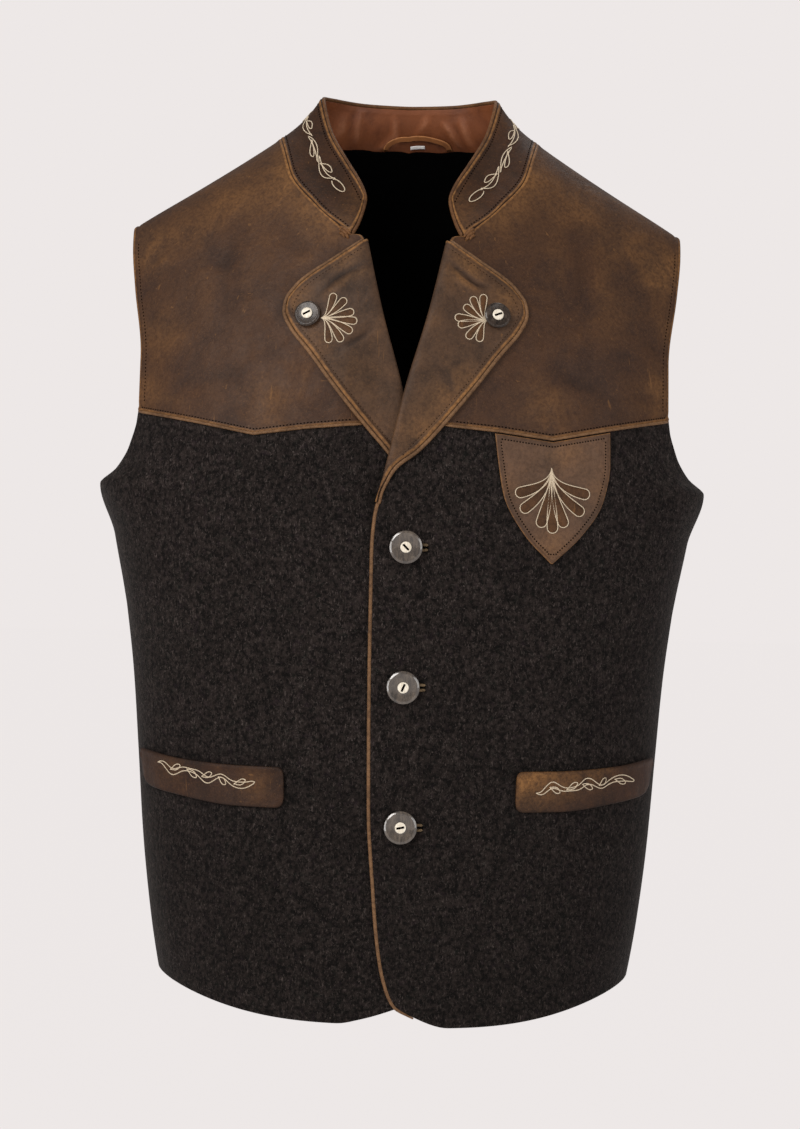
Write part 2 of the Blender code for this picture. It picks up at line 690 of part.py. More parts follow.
def collar(leather, facing):
    stations = collar_stations()
    stations = np.concatenate([-stations[:0:-1], stations])
    rises = np.linspace(COLLAR_FOOT, 1, 5)
    stand = [collar_grid(stations, rises, lift) for lift in (0, -LEATHER)]
    wall("collar_stand", *stand, leather)
    inner = -LEATHER - SEAM_GAP
    lining = [collar_grid(stations, rises, lift) for lift in (inner, inner - LINING)]
    wall("collar_facing", *lining, facing)
    rims = np.array([np.concatenate([grid[1:-1, 0], grid[-1], grid[-2:0:-1, -1]]) for grid in stand + lining])
    mid = stand[1]
    within = np.concatenate([mid[1:-1, 1], mid[-2], mid[-2:0:-1, -2]])
    edge = rims.mean(axis=0)
    run = unit(np.gradient(edge, axis=0))
    away = edge - within
    away = unit(away - run * (away * run).sum(axis=-1, keepdims=True))
    reach = ((rims - edge) * away).sum(axis=-1).max(axis=0)
    steps = unit(np.diff(edge, axis=0))
    turning = np.ones(len(edge))
    turning[1:-1] = np.sqrt((1 + (steps[1:] * steps[:-1]).sum(axis=-1)) / 2)
    path = edge + away * ((reach + COLLAR_PIPING_RADIUS + CORD_GAP) / turning)[:, None]
    cord("collar_piping", path, COLLAR_PIPING_RADIUS, leather)


def lapel_grid():
    """Shares along a lapel, its width at each, and its edges: roll line, outer edge, top edge and foot."""
    along = stretch(0, 9, 0.62, 6, 1)
    top_edge, outer_edge = outline(LAPEL_TOP_EDGE), outline(LAPEL_OUTER_EDGE)

    def roll_line(at):
        z = LAPEL_TOP_EDGE[0].height + (LAPEL_FOOT - LAPEL_TOP_EDGE[0].height) * at
        return np.stack([front_edge(z), z], axis=-1)

    def foot(at):
        start, end = roll_line(np.ones(1))[0], outer_edge(np.ones(1))[0]
        return start + (end - start) * at[:, None]

    width = np.linalg.norm(outer_edge(along) - roll_line(along), axis=-1)
    return along, width, roll_line, outer_edge, top_edge, foot


def lapel_places(across, along, edges):
    roll_line, outer_edge, top_edge, foot = edges
    rows = [coons(roll_line, outer_edge, top_edge, foot, share, at[None])[0]
            for share, at in zip(across, along)]
    return np.array(rows)


def lapel(side, surface):
    """The lapel, rolled round the front edge and laid over the yoke."""
    along, width, *edges = lapel_grid()
    height = LAPEL_EDGE_HEIGHT + LAPEL_PUFF * (1 - along)
    spread = stretch(0, 7, 1)[1:]
    upper_across, upper_lift, under_across, under_lift = [], [], [], []
    for wide, tall in zip(width, height):
        roll_in = LAPEL_ROLL[-1].upper_in / wide
        under_in = LAPEL_ROLL[-1].under_in / wide
        fall = tall + (LAPEL_EDGE_HEIGHT - tall) * ease(spread)
        rolled = [(row.upper_in / wide, row.under_in / wide) for row in LAPEL_ROLL]
        upper_across.append([upper for upper, _ in rolled] + list(roll_in + (1 - roll_in) * spread))
        under_across.append([under for _, under in rolled] + list(under_in + (1 - under_in) * spread))
        upper_lift.append([row.upper_height * tall for row in LAPEL_ROLL] + list(fall))
        under_lift.append([row.under_height * tall for row in LAPEL_ROLL] + list(fall - LAPEL_THICKNESS))
    upper = lapel_places(upper_across, along, edges)
    under = lapel_places(under_across, along, edges)
    name = "lapel_left" if side == LEFT else "lapel_right"
    wall(name,
         on_front(side, upper[..., 0], upper[..., 1], np.array(upper_lift)),
         on_front(side, under[..., 0], under[..., 1], np.array(under_lift)), surface)


def lapel_piping(side, surface):
    """The cord round the top and outer edges of a lapel."""
    top, outer = outline(LAPEL_TOP_EDGE), outline(LAPEL_OUTER_EDGE)
    places = np.concatenate([top(np.linspace(0.06, 1, 8)), outer(np.linspace(0, 0.93, 18)[1:])])
    places = beside(places, PIPING_RADIUS + CORD_GAP)
    name = "lapel_piping_left" if side == LEFT else "lapel_piping_right"
    path = on_front(side, places[:, 0], places[:, 1], LAPEL_PIPING_HEIGHT)
    cord(name, path, PIPING_RADIUS, surface)


def front_piping(surface):
    """The cord down the lapping front edge and round its hem corner."""
    share = np.linspace(0, PIPED_HEM, 4)
    hem = hem_height(LEFT, share)
    z = stretch(LAPEL_FOOT - PIPING_START, 22, UNDER_REACH_STARTS, 5, hem[0])[:-1]
    down = np.stack([across_front(0.0, z), z], axis=-1)
    along = np.stack([across_front(share, hem), hem], axis=-1)
    places = beside(np.concatenate([down, along]), -PIPING_RADIUS - SEAM_GAP)
    cord("front_piping", on_front(LEFT, places[:, 0], places[:, 1], -WOOL / 2), PIPING_RADIUS, surface)


def yoke_piping(side, surface):
    m = stretch(YOKE_PIPING_START, 7, YOKE_POINT_X, 8, YOKE_SEAM[-1].x - SEAM_GAP)
    path = on_front(side, m, yoke_seam(m), YOKE_PIPING_RADIUS + CORD_GAP)
    name = "yoke_piping_left" if side == LEFT else "yoke_piping_right"
    cord(name, path, YOKE_PIPING_RADIUS, surface)


def chest_patch(surface):
    """A shield with its top edge along the yoke seam."""
    along, across = stretch(0, 9, 1), stretch(0, 5, 0.5, 5, 1)
    left, right = outline(PATCH_LEFT_EDGE), outline(PATCH_RIGHT_EDGE)
    start, end = left(np.zeros(1))[0, 0], right(np.zeros(1))[0, 0]

    def top(at):
        x = start + (end - start) * at
        return np.stack([x, yoke_seam(x) - PATCH_BELOW_SEAM], axis=-1)

    def tip(at):
        return np.repeat(left(np.ones(1)), len(at), axis=0)

    def side_edge(read, corner):
        return lambda at: read(at) + (top(np.array([corner])) - read(np.zeros(1))) * (1 - at)[:, None]

    places = coons(side_edge(left, 0.0), side_edge(right, 1.0), top, tip, across, along)
    upper = on_front(LEFT, places[..., 0], places[..., 1], CORD_GAP + PATCH_THICKNESS)
    under = on_front(LEFT, places[..., 0], places[..., 1], CORD_GAP)
    wall("chest_patch", upper, under, surface)


def pocket_welt(side, surface):
    """A welt stitched along its lower edge, its top edge gaping a little off the cloth."""
    across, down = stretch(0, 3, 0.09, 8, 0.90, 3, 1), np.linspace(0, 1, 4)
    top, bottom = outline(WELT_TOP_EDGE)(across), outline(WELT_BOTTOM_EDGE)(across)
    places = top[None] + (bottom - top)[None] * down[:, None, None]
    places[..., 0] += WELT_INNER_END[side] * (1 - across)
    lift = (2 * SEAM_GAP + WELT_GAPE * (1 - down) ** 2)[:, None] + 0 * across
    name = "pocket_welt_left" if side == LEFT else "pocket_welt_right"
    wall(name,
         on_front(side, places[..., 0], places[..., 1], lift + WELT_THICKNESS),
         on_front(side, places[..., 0], places[..., 1], lift), surface)


def button_profile(radius):
    """A dished disc with a rounded rim and a flat floor for its inlay."""
    return (
        (0, 0),
        (0.80 * radius, 0),
        (0.97 * radius, 0.0010),
        (radius, 0.0022),
        (0.94 * radius, 0.0034),
        (0.82 * radius, 0.0038),
        (0.60 * radius, 0.0030),
        (DISC_RADIUS + 0.0006, 0.0026),
        (0, 0.0026),
    )


DISC_PROFILE = (
    (0, 0),
    (DISC_RADIUS, 0),
    (DISC_RADIUS, 0.0008),
    (0.80 * DISC_RADIUS, 0.0014),
    (0, 0.0016),
)


def slotted(disc, tilt):
    """Cuts the slot into a disc's face, turned by a tilt in degrees."""
    mesh = bpy.data.meshes.new(disc.name + "_slot")
    shape = bmesh.new()
    bmesh.ops.create_cube(shape, size=1)
    bmesh.ops.scale(shape, vec=(SLOT_LENGTH, SLOT_WIDTH, 2 * SLOT_DEPTH), verts=shape.verts)
    shape.to_mesh(mesh)
    shape.free()
    cutter = bpy.data.objects.new(mesh.name, mesh)
    bpy.context.scene.collection.objects.link(cutter)
    cutter.parent = disc
    cutter.location.z = DISC_PROFILE[-1][1]
    cutter.rotation_euler.z = math.radians(tilt)
    cutter.hide_render = True
    cutter.display_type = "WIRE"
    cut = disc.modifiers.new("slot", "BOOLEAN")
    cut.object = cutter
    cut.operation = "DIFFERENCE"
    cut.solver = "EXACT"


def button(name, radius, tilt, side, m, z, lift, horn, bone):
    seat(turned(name, button_profile(radius), 24, horn), side, m, z, lift)
    disc = turned(name.replace("button", "button_disc"), DISC_PROFILE, 16, bone)
    slotted(disc, tilt)
    seat(disc, side, m, z, lift + button_profile(radius)[-1][1] + SEAM_GAP)


def buttonhole(name, z, surface):
    """A cord sewn round the slit, its two runs meeting at both ends."""
    turn = np.linspace(-math.pi / 2, math.pi / 2, 5)
    end = HOLE_HALF_LENGTH - HOLE_HALF_WIDTH
    right = np.stack([end + HOLE_HALF_WIDTH * np.cos(turn), HOLE_HALF_WIDTH * np.sin(turn)], axis=-1)
    loop = np.concatenate([right, -right])
    path = on_front(LEFT, HOLE_CENTRE_X + loop[:, 0], z + loop[:, 1], HOLE_CORD_RADIUS + SEAM_GAP)
    cord(name, path, HOLE_CORD_RADIUS, surface, closed=True)


def neck_trims(leather, tape):
    """The hanger loop and the blank label, laid on the collar's inner face."""
    inside = -LEATHER - SEAM_GAP - LINING - TRIM_GAP
    arch = np.linspace(0, math.pi, 13)
    stations = LOOP_CENTRE + LOOP_HALF_SPAN * np.cos(arch)
    rises = LOOP_FOOT + LOOP_RISE * np.sin(arch) ** 0.7
    outer, inner = (
        np.array([collar_spot(*place, lift) for place in zip(stations, rises)])
        for lift in (inside, inside - LOOP_THICKNESS)
    )
    wide = np.cross(unit(np.gradient(outer, axis=0)), unit(outer - inner)) * LOOP_WIDTH / 2
    upper = np.stack([outer - wide, outer + wide])
    under = np.stack([inner - wide, inner + wide])
    wall("hanger_loop", upper, under, leather)
    across = LOOP_CENTRE + np.linspace(-LABEL_HALF_SPAN, LABEL_HALF_SPAN, 4)
    label = [collar_grid(across, [LOOP_FOOT, LABEL_TOP], inside - deep) for deep in (0, LABEL_THICKNESS)]
    wall("size_label", *label, tape)


def build():
    for old in list(bpy.data.objects):
        bpy.data.objects.remove(old)
    wool = material("wool felt", (0.022, 0.020, 0.020), 0.95)
    brown = material("brown leather", (0.075, 0.042, 0.025), 0.5)
    facing = material("facing leather", (0.13, 0.05, 0.022), 0.5)
    black = material("black lining", (0.004, 0.004, 0.005), 0.7)
    horn = material("horn", (0.10, 0.08, 0.06), 0.35)
    bone = material("bone", (0.78, 0.70, 0.58), 0.4)
    tape = material("label tape", (0.75, 0.73, 0.70), 0.8)
    for side in (LEFT, RIGHT):
        front_panel(side, wool)
        yoke(side, brown)
        lapel(side, brown)
        lapel_piping(side, brown)
        yoke_piping(side, brown)
        pocket_welt(side, brown)
        name = "lapel_button_left" if side == LEFT else "lapel_button_right"
        button(name, LAPEL_BUTTON_RADIUS, LAPEL_SLOT_TILT[side], side, *LAPEL_BUTTON[side],
               LAPEL_BUTTON_HEIGHT, horn, bone)
    back_panels(wool, black)
    collar(brown, facing)
    front_piping(brown)
    chest_patch(brown)
    neck_trims(brown, tape)
    lift = 2 * (HOLE_CORD_RADIUS + SEAM_GAP)
    for number, (z, tilt) in enumerate(FRONT_BUTTONS, 1):
        buttonhole(f"buttonhole_{number}", z, brown)
        button(f"button_{number}", FRONT_BUTTON_RADIUS, tilt, LEFT, FRONT_BUTTON_X, z, lift, horn, bone)


build()
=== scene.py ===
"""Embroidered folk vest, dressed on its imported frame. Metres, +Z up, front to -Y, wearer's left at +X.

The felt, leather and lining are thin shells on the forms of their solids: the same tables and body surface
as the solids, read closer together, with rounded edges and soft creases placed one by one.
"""

import json
import math
from collections import namedtuple
from functools import cache, cached_property

import bpy
import numpy as np
from mathutils import Matrix, Vector
from mathutils.bvhtree import BVHTree
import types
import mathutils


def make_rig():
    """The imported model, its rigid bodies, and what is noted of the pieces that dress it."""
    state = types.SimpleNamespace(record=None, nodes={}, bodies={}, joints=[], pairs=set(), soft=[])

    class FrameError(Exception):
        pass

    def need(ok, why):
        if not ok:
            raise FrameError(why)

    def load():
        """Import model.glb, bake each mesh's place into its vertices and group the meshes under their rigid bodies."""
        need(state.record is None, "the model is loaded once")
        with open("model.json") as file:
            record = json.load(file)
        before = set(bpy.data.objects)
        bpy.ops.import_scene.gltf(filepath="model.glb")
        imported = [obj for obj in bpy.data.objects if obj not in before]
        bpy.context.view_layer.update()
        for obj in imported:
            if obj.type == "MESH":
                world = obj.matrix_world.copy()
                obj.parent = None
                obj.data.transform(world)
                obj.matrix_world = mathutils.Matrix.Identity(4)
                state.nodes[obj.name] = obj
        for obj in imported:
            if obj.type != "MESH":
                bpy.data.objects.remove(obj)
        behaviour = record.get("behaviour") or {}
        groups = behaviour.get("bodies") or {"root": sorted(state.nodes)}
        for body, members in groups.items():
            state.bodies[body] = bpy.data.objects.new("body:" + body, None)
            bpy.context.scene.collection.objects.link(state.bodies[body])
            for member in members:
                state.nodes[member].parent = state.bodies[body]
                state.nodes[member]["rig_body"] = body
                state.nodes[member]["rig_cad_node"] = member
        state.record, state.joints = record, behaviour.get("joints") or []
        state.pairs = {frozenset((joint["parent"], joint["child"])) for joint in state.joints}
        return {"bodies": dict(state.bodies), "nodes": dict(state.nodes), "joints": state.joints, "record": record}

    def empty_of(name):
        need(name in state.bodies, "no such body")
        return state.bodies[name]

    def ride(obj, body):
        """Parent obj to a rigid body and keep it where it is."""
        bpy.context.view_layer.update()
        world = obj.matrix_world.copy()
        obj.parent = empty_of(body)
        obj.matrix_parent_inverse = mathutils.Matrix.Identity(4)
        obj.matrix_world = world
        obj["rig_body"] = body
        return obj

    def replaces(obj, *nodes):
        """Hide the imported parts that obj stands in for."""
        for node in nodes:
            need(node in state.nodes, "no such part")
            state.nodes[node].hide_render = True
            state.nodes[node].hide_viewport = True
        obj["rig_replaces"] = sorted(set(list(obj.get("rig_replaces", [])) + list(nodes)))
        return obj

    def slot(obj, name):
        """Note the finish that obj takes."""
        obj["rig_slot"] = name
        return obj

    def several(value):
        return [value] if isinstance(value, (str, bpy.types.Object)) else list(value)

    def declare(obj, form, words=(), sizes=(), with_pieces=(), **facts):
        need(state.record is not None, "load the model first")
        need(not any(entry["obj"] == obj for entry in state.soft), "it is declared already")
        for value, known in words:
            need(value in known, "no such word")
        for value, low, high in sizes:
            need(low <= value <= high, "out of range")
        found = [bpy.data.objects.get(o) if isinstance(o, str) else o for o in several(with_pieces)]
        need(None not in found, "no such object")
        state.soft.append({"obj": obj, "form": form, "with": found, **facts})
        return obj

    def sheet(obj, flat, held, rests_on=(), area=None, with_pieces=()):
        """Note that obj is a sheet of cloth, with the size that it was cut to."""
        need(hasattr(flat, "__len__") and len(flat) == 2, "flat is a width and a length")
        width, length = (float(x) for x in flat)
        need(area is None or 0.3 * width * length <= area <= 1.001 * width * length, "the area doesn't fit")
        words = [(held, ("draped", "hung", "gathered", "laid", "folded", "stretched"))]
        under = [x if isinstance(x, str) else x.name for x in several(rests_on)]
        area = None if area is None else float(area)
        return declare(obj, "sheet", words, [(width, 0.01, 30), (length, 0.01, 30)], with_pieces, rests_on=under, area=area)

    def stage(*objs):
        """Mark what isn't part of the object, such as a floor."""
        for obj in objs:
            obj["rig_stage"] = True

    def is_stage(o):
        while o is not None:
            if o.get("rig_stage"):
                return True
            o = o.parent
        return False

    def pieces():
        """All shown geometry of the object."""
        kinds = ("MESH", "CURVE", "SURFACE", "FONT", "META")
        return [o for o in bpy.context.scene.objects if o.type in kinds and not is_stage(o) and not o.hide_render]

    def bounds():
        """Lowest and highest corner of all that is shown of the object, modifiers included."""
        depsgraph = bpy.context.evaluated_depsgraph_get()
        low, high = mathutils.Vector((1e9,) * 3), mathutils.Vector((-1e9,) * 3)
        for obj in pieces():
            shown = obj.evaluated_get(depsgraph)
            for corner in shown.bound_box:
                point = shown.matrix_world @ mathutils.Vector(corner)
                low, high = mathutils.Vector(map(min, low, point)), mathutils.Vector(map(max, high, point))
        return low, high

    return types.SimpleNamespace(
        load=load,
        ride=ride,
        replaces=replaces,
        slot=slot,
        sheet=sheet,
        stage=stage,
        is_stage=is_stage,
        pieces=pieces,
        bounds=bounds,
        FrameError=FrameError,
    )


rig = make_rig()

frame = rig.load()
frame_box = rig.bounds()

WOOL = 0.002
LEATHER = 0.0014
LINING = 0.001
SEAM_GAP = 0.0003
CORD_GAP = 0.0005  # a cord's flat facets need a little more room
TRIM_GAP = 0.0008  # and so does what lies in the collar's curve
LEFT, RIGHT = 1, -1
FRONT, BACK = -1, 1
WORD = {LEFT: "left", RIGHT: "right"}


def table(kind, rows):
    return tuple(kind(*row) for row in rows)


def by_side(kind, left, right):
    return {LEFT: table(kind, left), RIGHT: table(kind, right)}


# The rounded body.
Ring = namedtuple("Ring", "height half_width front_depth back_depth")
BODY_RINGS = table(Ring, (
    (-0.66, 0.1655, 0.115, 0.103), (-0.622, 0.1744, 0.117, 0.104), (-0.58, 0.1815, 0.117, 0.103),
    (-0.52, 0.1885, 0.116, 0.098), (-0.46, 0.193, 0.115, 0.092), (-0.4, 0.1978, 0.116, 0.09),
    (-0.34, 0.2054, 0.118, 0.094), (-0.3, 0.211, 0.119, 0.0985), (-0.262, 0.2135, 0.119, 0.103),
    (-0.238, 0.213, 0.118, 0.1058), (-0.2, 0.212, 0.116, 0.1097), (-0.16, 0.213, 0.113, 0.112),
    (-0.07, 0.219, 0.098, 0.1), (0.06, 0.223, 0.08, 0.086)))
SQUARENESS = 2.3  # 2 is an ellipse, and more is squarer
Flare = namedtuple("Flare", "height width")
FLARE = table(Flare, (
    (-0.35, 0.0), (-0.3, 0.0028), (-0.262, 0.0123), (-0.251, 0.0041), (-0.238, 0.0008), (-0.2, 0.0)))
FLARE_STARTS = 0.7  # the share of the half width where the sides begin to flare under the arms
Ridge = namedtuple("Ridge", "x height")
SHOULDER_LINE = table(Ridge, (
    (-0.03, 0.052), (0.0, 0.062), (0.03, 0.052), (0.06, 0.0265), (0.0953, -0.001), (0.118, -0.0165),
    (0.155, -0.04), (0.192, -0.0625), (0.23, -0.087)))
SHOULDER_REACH = 0.27  # how far below the shoulder line the body reaches its full depth
SHOULDER_ROUND = 2

# Seams and edges of the panels.
Edge = namedtuple("Edge", "height past_centre")
FRONT_EDGE = table(Edge, (
    (-0.648, -0.012), (-0.634, -0.0004), (-0.6275, 0.004), (-0.617, 0.0078), (-0.604, 0.0111), (-0.578, 0.0148),
    (-0.549, 0.0174), (-0.494, 0.0215), (-0.37, 0.023), (-0.309, 0.023), (-0.286, 0.0215), (-0.256, 0.014),
    (-0.194, 0.0), (-0.138, -0.0157), (-0.083, -0.028)))
Armhole = namedtuple("Armhole", "height front_x back_x")
ARMHOLE = table(Armhole, (
    (-0.2606, 0.2258, 0.2258), (-0.259, 0.2233, 0.223), (-0.256, 0.2187, 0.2179), (-0.252, 0.213, 0.2116),
    (-0.244, 0.2065, 0.2042), (-0.2337, 0.201, 0.198), (-0.2095, 0.1946, 0.1918), (-0.168, 0.1943, 0.1921),
    (-0.1165, 0.2009, 0.2003), (-0.087, 0.204, 0.2034), (-0.0707, 0.2045, 0.2045)))
UNDERARM = ARMHOLE[0].height
ARMHOLE_TURN = ARMHOLE[6].height  # where it begins to turn under the arm
UNDERARM_ROWS = (-0.2592, -0.256, -0.25, -0.239, -0.225)  # the back's rows round that turn
SHOULDER_TIP_X = ARMHOLE[-1].front_x
SeamPoint = namedtuple("SeamPoint", "x height")
YOKE_SEAM = table(SeamPoint, (
    (-0.01, -0.216), (0.0306, -0.2185), (0.07, -0.222), (0.1067, -0.2267), (0.15, -0.218), (0.195, -0.2095)))
YOKE_POINT_X = YOKE_SEAM[3].x
HEM_FRONT = {LEFT: -0.6475, RIGHT: -0.6455}
HEM_BACK = -0.632
HEM_SIDE = -0.62
HEM_CORNER_WIDTH = 0.0295
HEM_CORNER_RISE = {LEFT: 0.0145, RIGHT: 0.0105}
UNDER_REACH = 0.006  # how much further the under front reaches, at the foot of its edge
UNDER_REACH_SHARE = 0.1
UNDER_REACH_STARTS, UNDER_REACH_HEIGHT = -0.6, 0.03
PIPED_HEM = 0.045  # the share of the front hem that the front piping runs along
SHOULDER_SEAM = -0.066  # the root of the seam behind the shoulder line
SHOULDER_SEAM_GAP, NECK_SEAM_GAP = 0.0022, 0.0008  # SEAM_GAP there, in the same roots
GORGE = SeamPoint(0.03, -0.083)

# The stand collar: a station of 0 is the centre back and 1 the front end. A root is 0 on the shoulder
# line and positive in front of it, and its square is the share of SHOULDER_REACH below the line.
Stand = namedtuple("Stand", "station seam_x seam_root top_x top_y top_z")
COLLAR = table(Stand, (
    (0.0, 0.0, -0.479, 0.0, 0.0445, 0.0305), (0.09, 0.0232, -0.451, 0.018, 0.0422, 0.0307),
    (0.18, 0.045, -0.385, 0.035, 0.0385, 0.031), (0.25, 0.0611, -0.307, 0.0467, 0.0318, 0.0315),
    (0.32, 0.075, -0.233, 0.056, 0.022, 0.0318), (0.4, 0.089, -0.127, 0.063, 0.0094, 0.0312),
    (0.47, 0.0953, 0.0, 0.0662, -0.002, 0.03), (0.68, 0.0865, 0.361, 0.059, -0.027, 0.002),
    (0.85, 0.0668, 0.536, 0.045, -0.047, -0.024), (1.0, 0.0407, 0.678, 0.032, -0.059, -0.045)))
COLLAR_HOLLOW = 0.0022
COLLAR_END_BOW = 0.0026
COLLAR_END_BELLY = 0.75  # the half waves of its bow, so that the widest place is high up
COLLAR_END_LENGTH = 0.15
COLLAR_FOOT = 0.01  # the share of its height that it stands clear of the seam
COLLAR_CORNER = 0.15  # how much lower the top edge is at the front ends
COLLAR_PIPING_RADIUS = 0.0013
COLLAR_CORD_SWELL = 1.08

# The wearer's right front is tucked in where the left one laps over it.
Tuck = namedtuple("Tuck", "height depth")
TUCK = table(Tuck, (
    (-0.66, 0.0029), (-0.31, 0.0029), (-0.262, 0.007), (-0.195, 0.007), (-0.135, 0.0), (0.06, 0.0)))
TUCK_FULL_AT = 0.018
TUCK_STARTS_AT = 0.044
TUCK_SHARE = 0.3  # the column of a front's grid near where the tuck starts

# Piping is a round cord. The panels stop short of their finished edge to leave it room.
PIPING_RADIUS = 0.0014
YOKE_PIPING_RADIUS = 0.0011
YOKE_PIPING_START = 0.0375  # just clear of the lapel
EDGE_ROOM = 2 * PIPING_RADIUS + SEAM_GAP
LAPEL_FOOT = -0.254

# The lapels, as outlines on the wearer's left.
LAPEL_TOP_EDGE = table(SeamPoint, (
    (0.028, -0.085), (0.0488, -0.0992), (0.0742, -0.1168), (0.084, -0.1285)))
LAPEL_OUTER_EDGE = table(SeamPoint, (
    (0.084, -0.1285), (0.0855, -0.138), (0.081, -0.149), (0.0666, -0.1672), (0.0502, -0.1892),
    (0.0329, -0.2107), (0.0103, -0.2362), (-0.005, -0.254)))
LAPEL_TIP = table(SeamPoint, (  # the left lapel tapers into the front edge
    (-0.0058, -0.249), (-0.0128, -0.2605), (-0.0158, -0.267), (-0.0172, -0.274)))
LAPEL_THICKNESS = 0.002
LAPEL_EDGE_HEIGHT = 0.0031
LAPEL_PUFF = 0.0022
LAPEL_PIPING_HEIGHT = 0.0023
LAPEL_BUTTON_HEIGHT = 0.004
# Across the roll: where the upper and under faces run, in metres from the roll line, and how high they
# lie, as shares of the lapel's height above the body.
Roll = namedtuple("Roll", "upper_in upper_height under_in under_height")
RollStep = namedtuple("RollStep", ("at",) + Roll._fields)
LAPEL_ROLL = table(Roll, (
    (0.0012, -0.3, 0.0026, -0.3), (0.0, 0.25, 0.0027, 0.1), (0.0009, 0.75, 0.0032, 0.22),
    (0.004, 1.0, 0.0044, 0.34)))

# The shield patch and the pocket welts, as outlines on the wearer's left.
PATCH_LEFT_EDGE = table(SeamPoint, (
    (0.0652, -0.224), (0.068, -0.244), (0.0725, -0.268), (0.088, -0.2955), (0.1075, -0.3155)))
PATCH_RIGHT_EDGE = table(SeamPoint, (
    (0.1485, -0.221), (0.1487, -0.244), (0.1435, -0.2715), (0.129, -0.2945), (0.1075, -0.3155)))
PATCH_BELOW_SEAM = 0.002
PATCH_THICKNESS = 0.0012
PATCH_TIP_WIDTH = 0.0012
WELT_TOP_EDGE = table(SeamPoint, (
    (0.0825, -0.472), (0.0828, -0.468), (0.0842, -0.4652), (0.0872, -0.464), (0.114, -0.4637), (0.158, -0.4607),
    (0.1848, -0.456), (0.1856, -0.46)))
WELT_BOTTOM_EDGE = table(SeamPoint, (
    (0.0825, -0.485), (0.0829, -0.4893), (0.0845, -0.492), (0.088, -0.4934), (0.118, -0.493), (0.156, -0.488),
    (0.1765, -0.4842), (0.1815, -0.4815), (0.1842, -0.4765)))
WELT_INNER_END = {LEFT: 0.0025, RIGHT: -0.003}  # how far out of place each inner end is
WELT_THICKNESS = 0.0016
WELT_GAPE = 0.0016

# Buttons, their inlaid discs and the corded buttonholes.
ButtonPlace = namedtuple("ButtonPlace", "height slot_tilt")  # tilts in degrees
FRONT_BUTTONS = table(ButtonPlace, (
    (-0.3056, -45), (-0.4052, 67), (-0.5048, 12)))
FRONT_BUTTON_X = 0.0036
FRONT_BUTTON_RADIUS = 0.0118
LAPEL_BUTTON = {LEFT: SeamPoint(0.0646, -0.1402), RIGHT: SeamPoint(0.0689, -0.1416)}
LAPEL_BUTTON_RADIUS = 0.0095
LAPEL_SLOT_TILT = {LEFT: 20, RIGHT: 28}
DISC_RADIUS = 0.004
SLOT_LENGTH, SLOT_WIDTH, SLOT_DEPTH = 0.005, 0.0012, 0.0009
HOLE_HALF_LENGTH = 0.0125
HOLE_HALF_WIDTH = 0.0016
HOLE_CORD_RADIUS = 0.001
HOLE_CENTRE_X = FRONT_BUTTON_X + 0.0055

# The hanger loop and the label at the back neck.
LOOP_CENTRE = 0.028  # stations from the centre back, towards the wearer's left
LOOP_HALF_SPAN = 0.1
LOOP_FOOT, LOOP_RISE = 0.03, 0.34  # shares of the collar's height
LOOP_WIDTH = 0.0042
LOOP_THICKNESS = 0.001
LABEL_HALF_SPAN = 0.0235
LABEL_TOP = 0.13
LABEL_THICKNESS = 0.0004


def stacked(*parts):
    return np.stack(parts, axis=-1)


def apart(places):
    return places[..., 0], places[..., 1]


def even(count):
    """Even steps from 0 to 1."""
    return np.linspace(0, 1, count)


def smooth(rows, value, at):
    """One column of a table, read by its first one along a smooth curve that never overshoots its rows."""
    keys = np.array([row[0] for row in rows])
    values = np.array([getattr(row, value) for row in rows])
    if keys[0] > keys[-1]:
        keys, values = keys[::-1], values[::-1]
    rises = np.diff(values) / np.diff(keys)
    before, after = rises[:-1], rises[1:]
    turning = before * after <= 0
    mean = 2 * before * after / np.where(turning, 1, before + after)
    slopes = np.concatenate([rises[:1], np.where(turning, 0, mean), rises[-1:]])
    at = np.clip(at, keys[0], keys[-1])
    low = np.clip(np.searchsorted(keys, at) - 1, 0, len(keys) - 2)
    span = keys[low + 1] - keys[low]
    t = (at - keys[low]) / span
    start = (1 + 2 * t) * (1 - t) ** 2 * values[low] + t * (1 - t) ** 2 * span * slopes[low]
    end = t**2 * (3 - 2 * t) * values[low + 1] + t**2 * (t - 1) * span * slopes[low + 1]
    return start + end


def ease(share):
    """A soft step from 0 to 1."""
    share = np.clip(share, 0, 1)
    return share * share * (3 - 2 * share)


def shoulder_line(x):
    return smooth(SHOULDER_LINE, "height", np.abs(x))


def below_shoulder(x, root):
    """The height at a root, where root squared is the share of SHOULDER_REACH below the shoulder line."""
    return shoulder_line(x) - SHOULDER_REACH * root**2


def root_of(x, z):
    return np.sqrt(np.maximum(shoulder_line(x) - z, 0) / SHOULDER_REACH)


def core_width(z):
    return smooth(BODY_RINGS, "half_width", z)


def flare(z):
    return smooth(FLARE, "width", z)


def half_width(z):
    return core_width(z) + flare(z)


def near_side(share):
    """How far a place takes part in the flare: 0 up to FLARE_STARTS and 1 at the side."""
    return ease((np.abs(share) - FLARE_STARTS) / (1 - FLARE_STARTS))


def body_depth(z, face):
    front = smooth(BODY_RINGS, "front_depth", z)
    back = smooth(BODY_RINGS, "back_depth", z)
    return np.where(face < 0, front, back)


def fullness(x, z):
    """How near a place is to the body's full depth: 0 on the side and shoulder lines, 1 at the centre."""
    core = core_width(z)
    wide = core + flare(z) * near_side(x / core)
    across = 1 - np.clip(np.abs(x) / wide, 0, 1) ** SQUARENESS
    below = np.clip((shoulder_line(x) - z) / SHOULDER_REACH, 0, 1)
    return across * (1 - (1 - below) ** SHOULDER_ROUND)


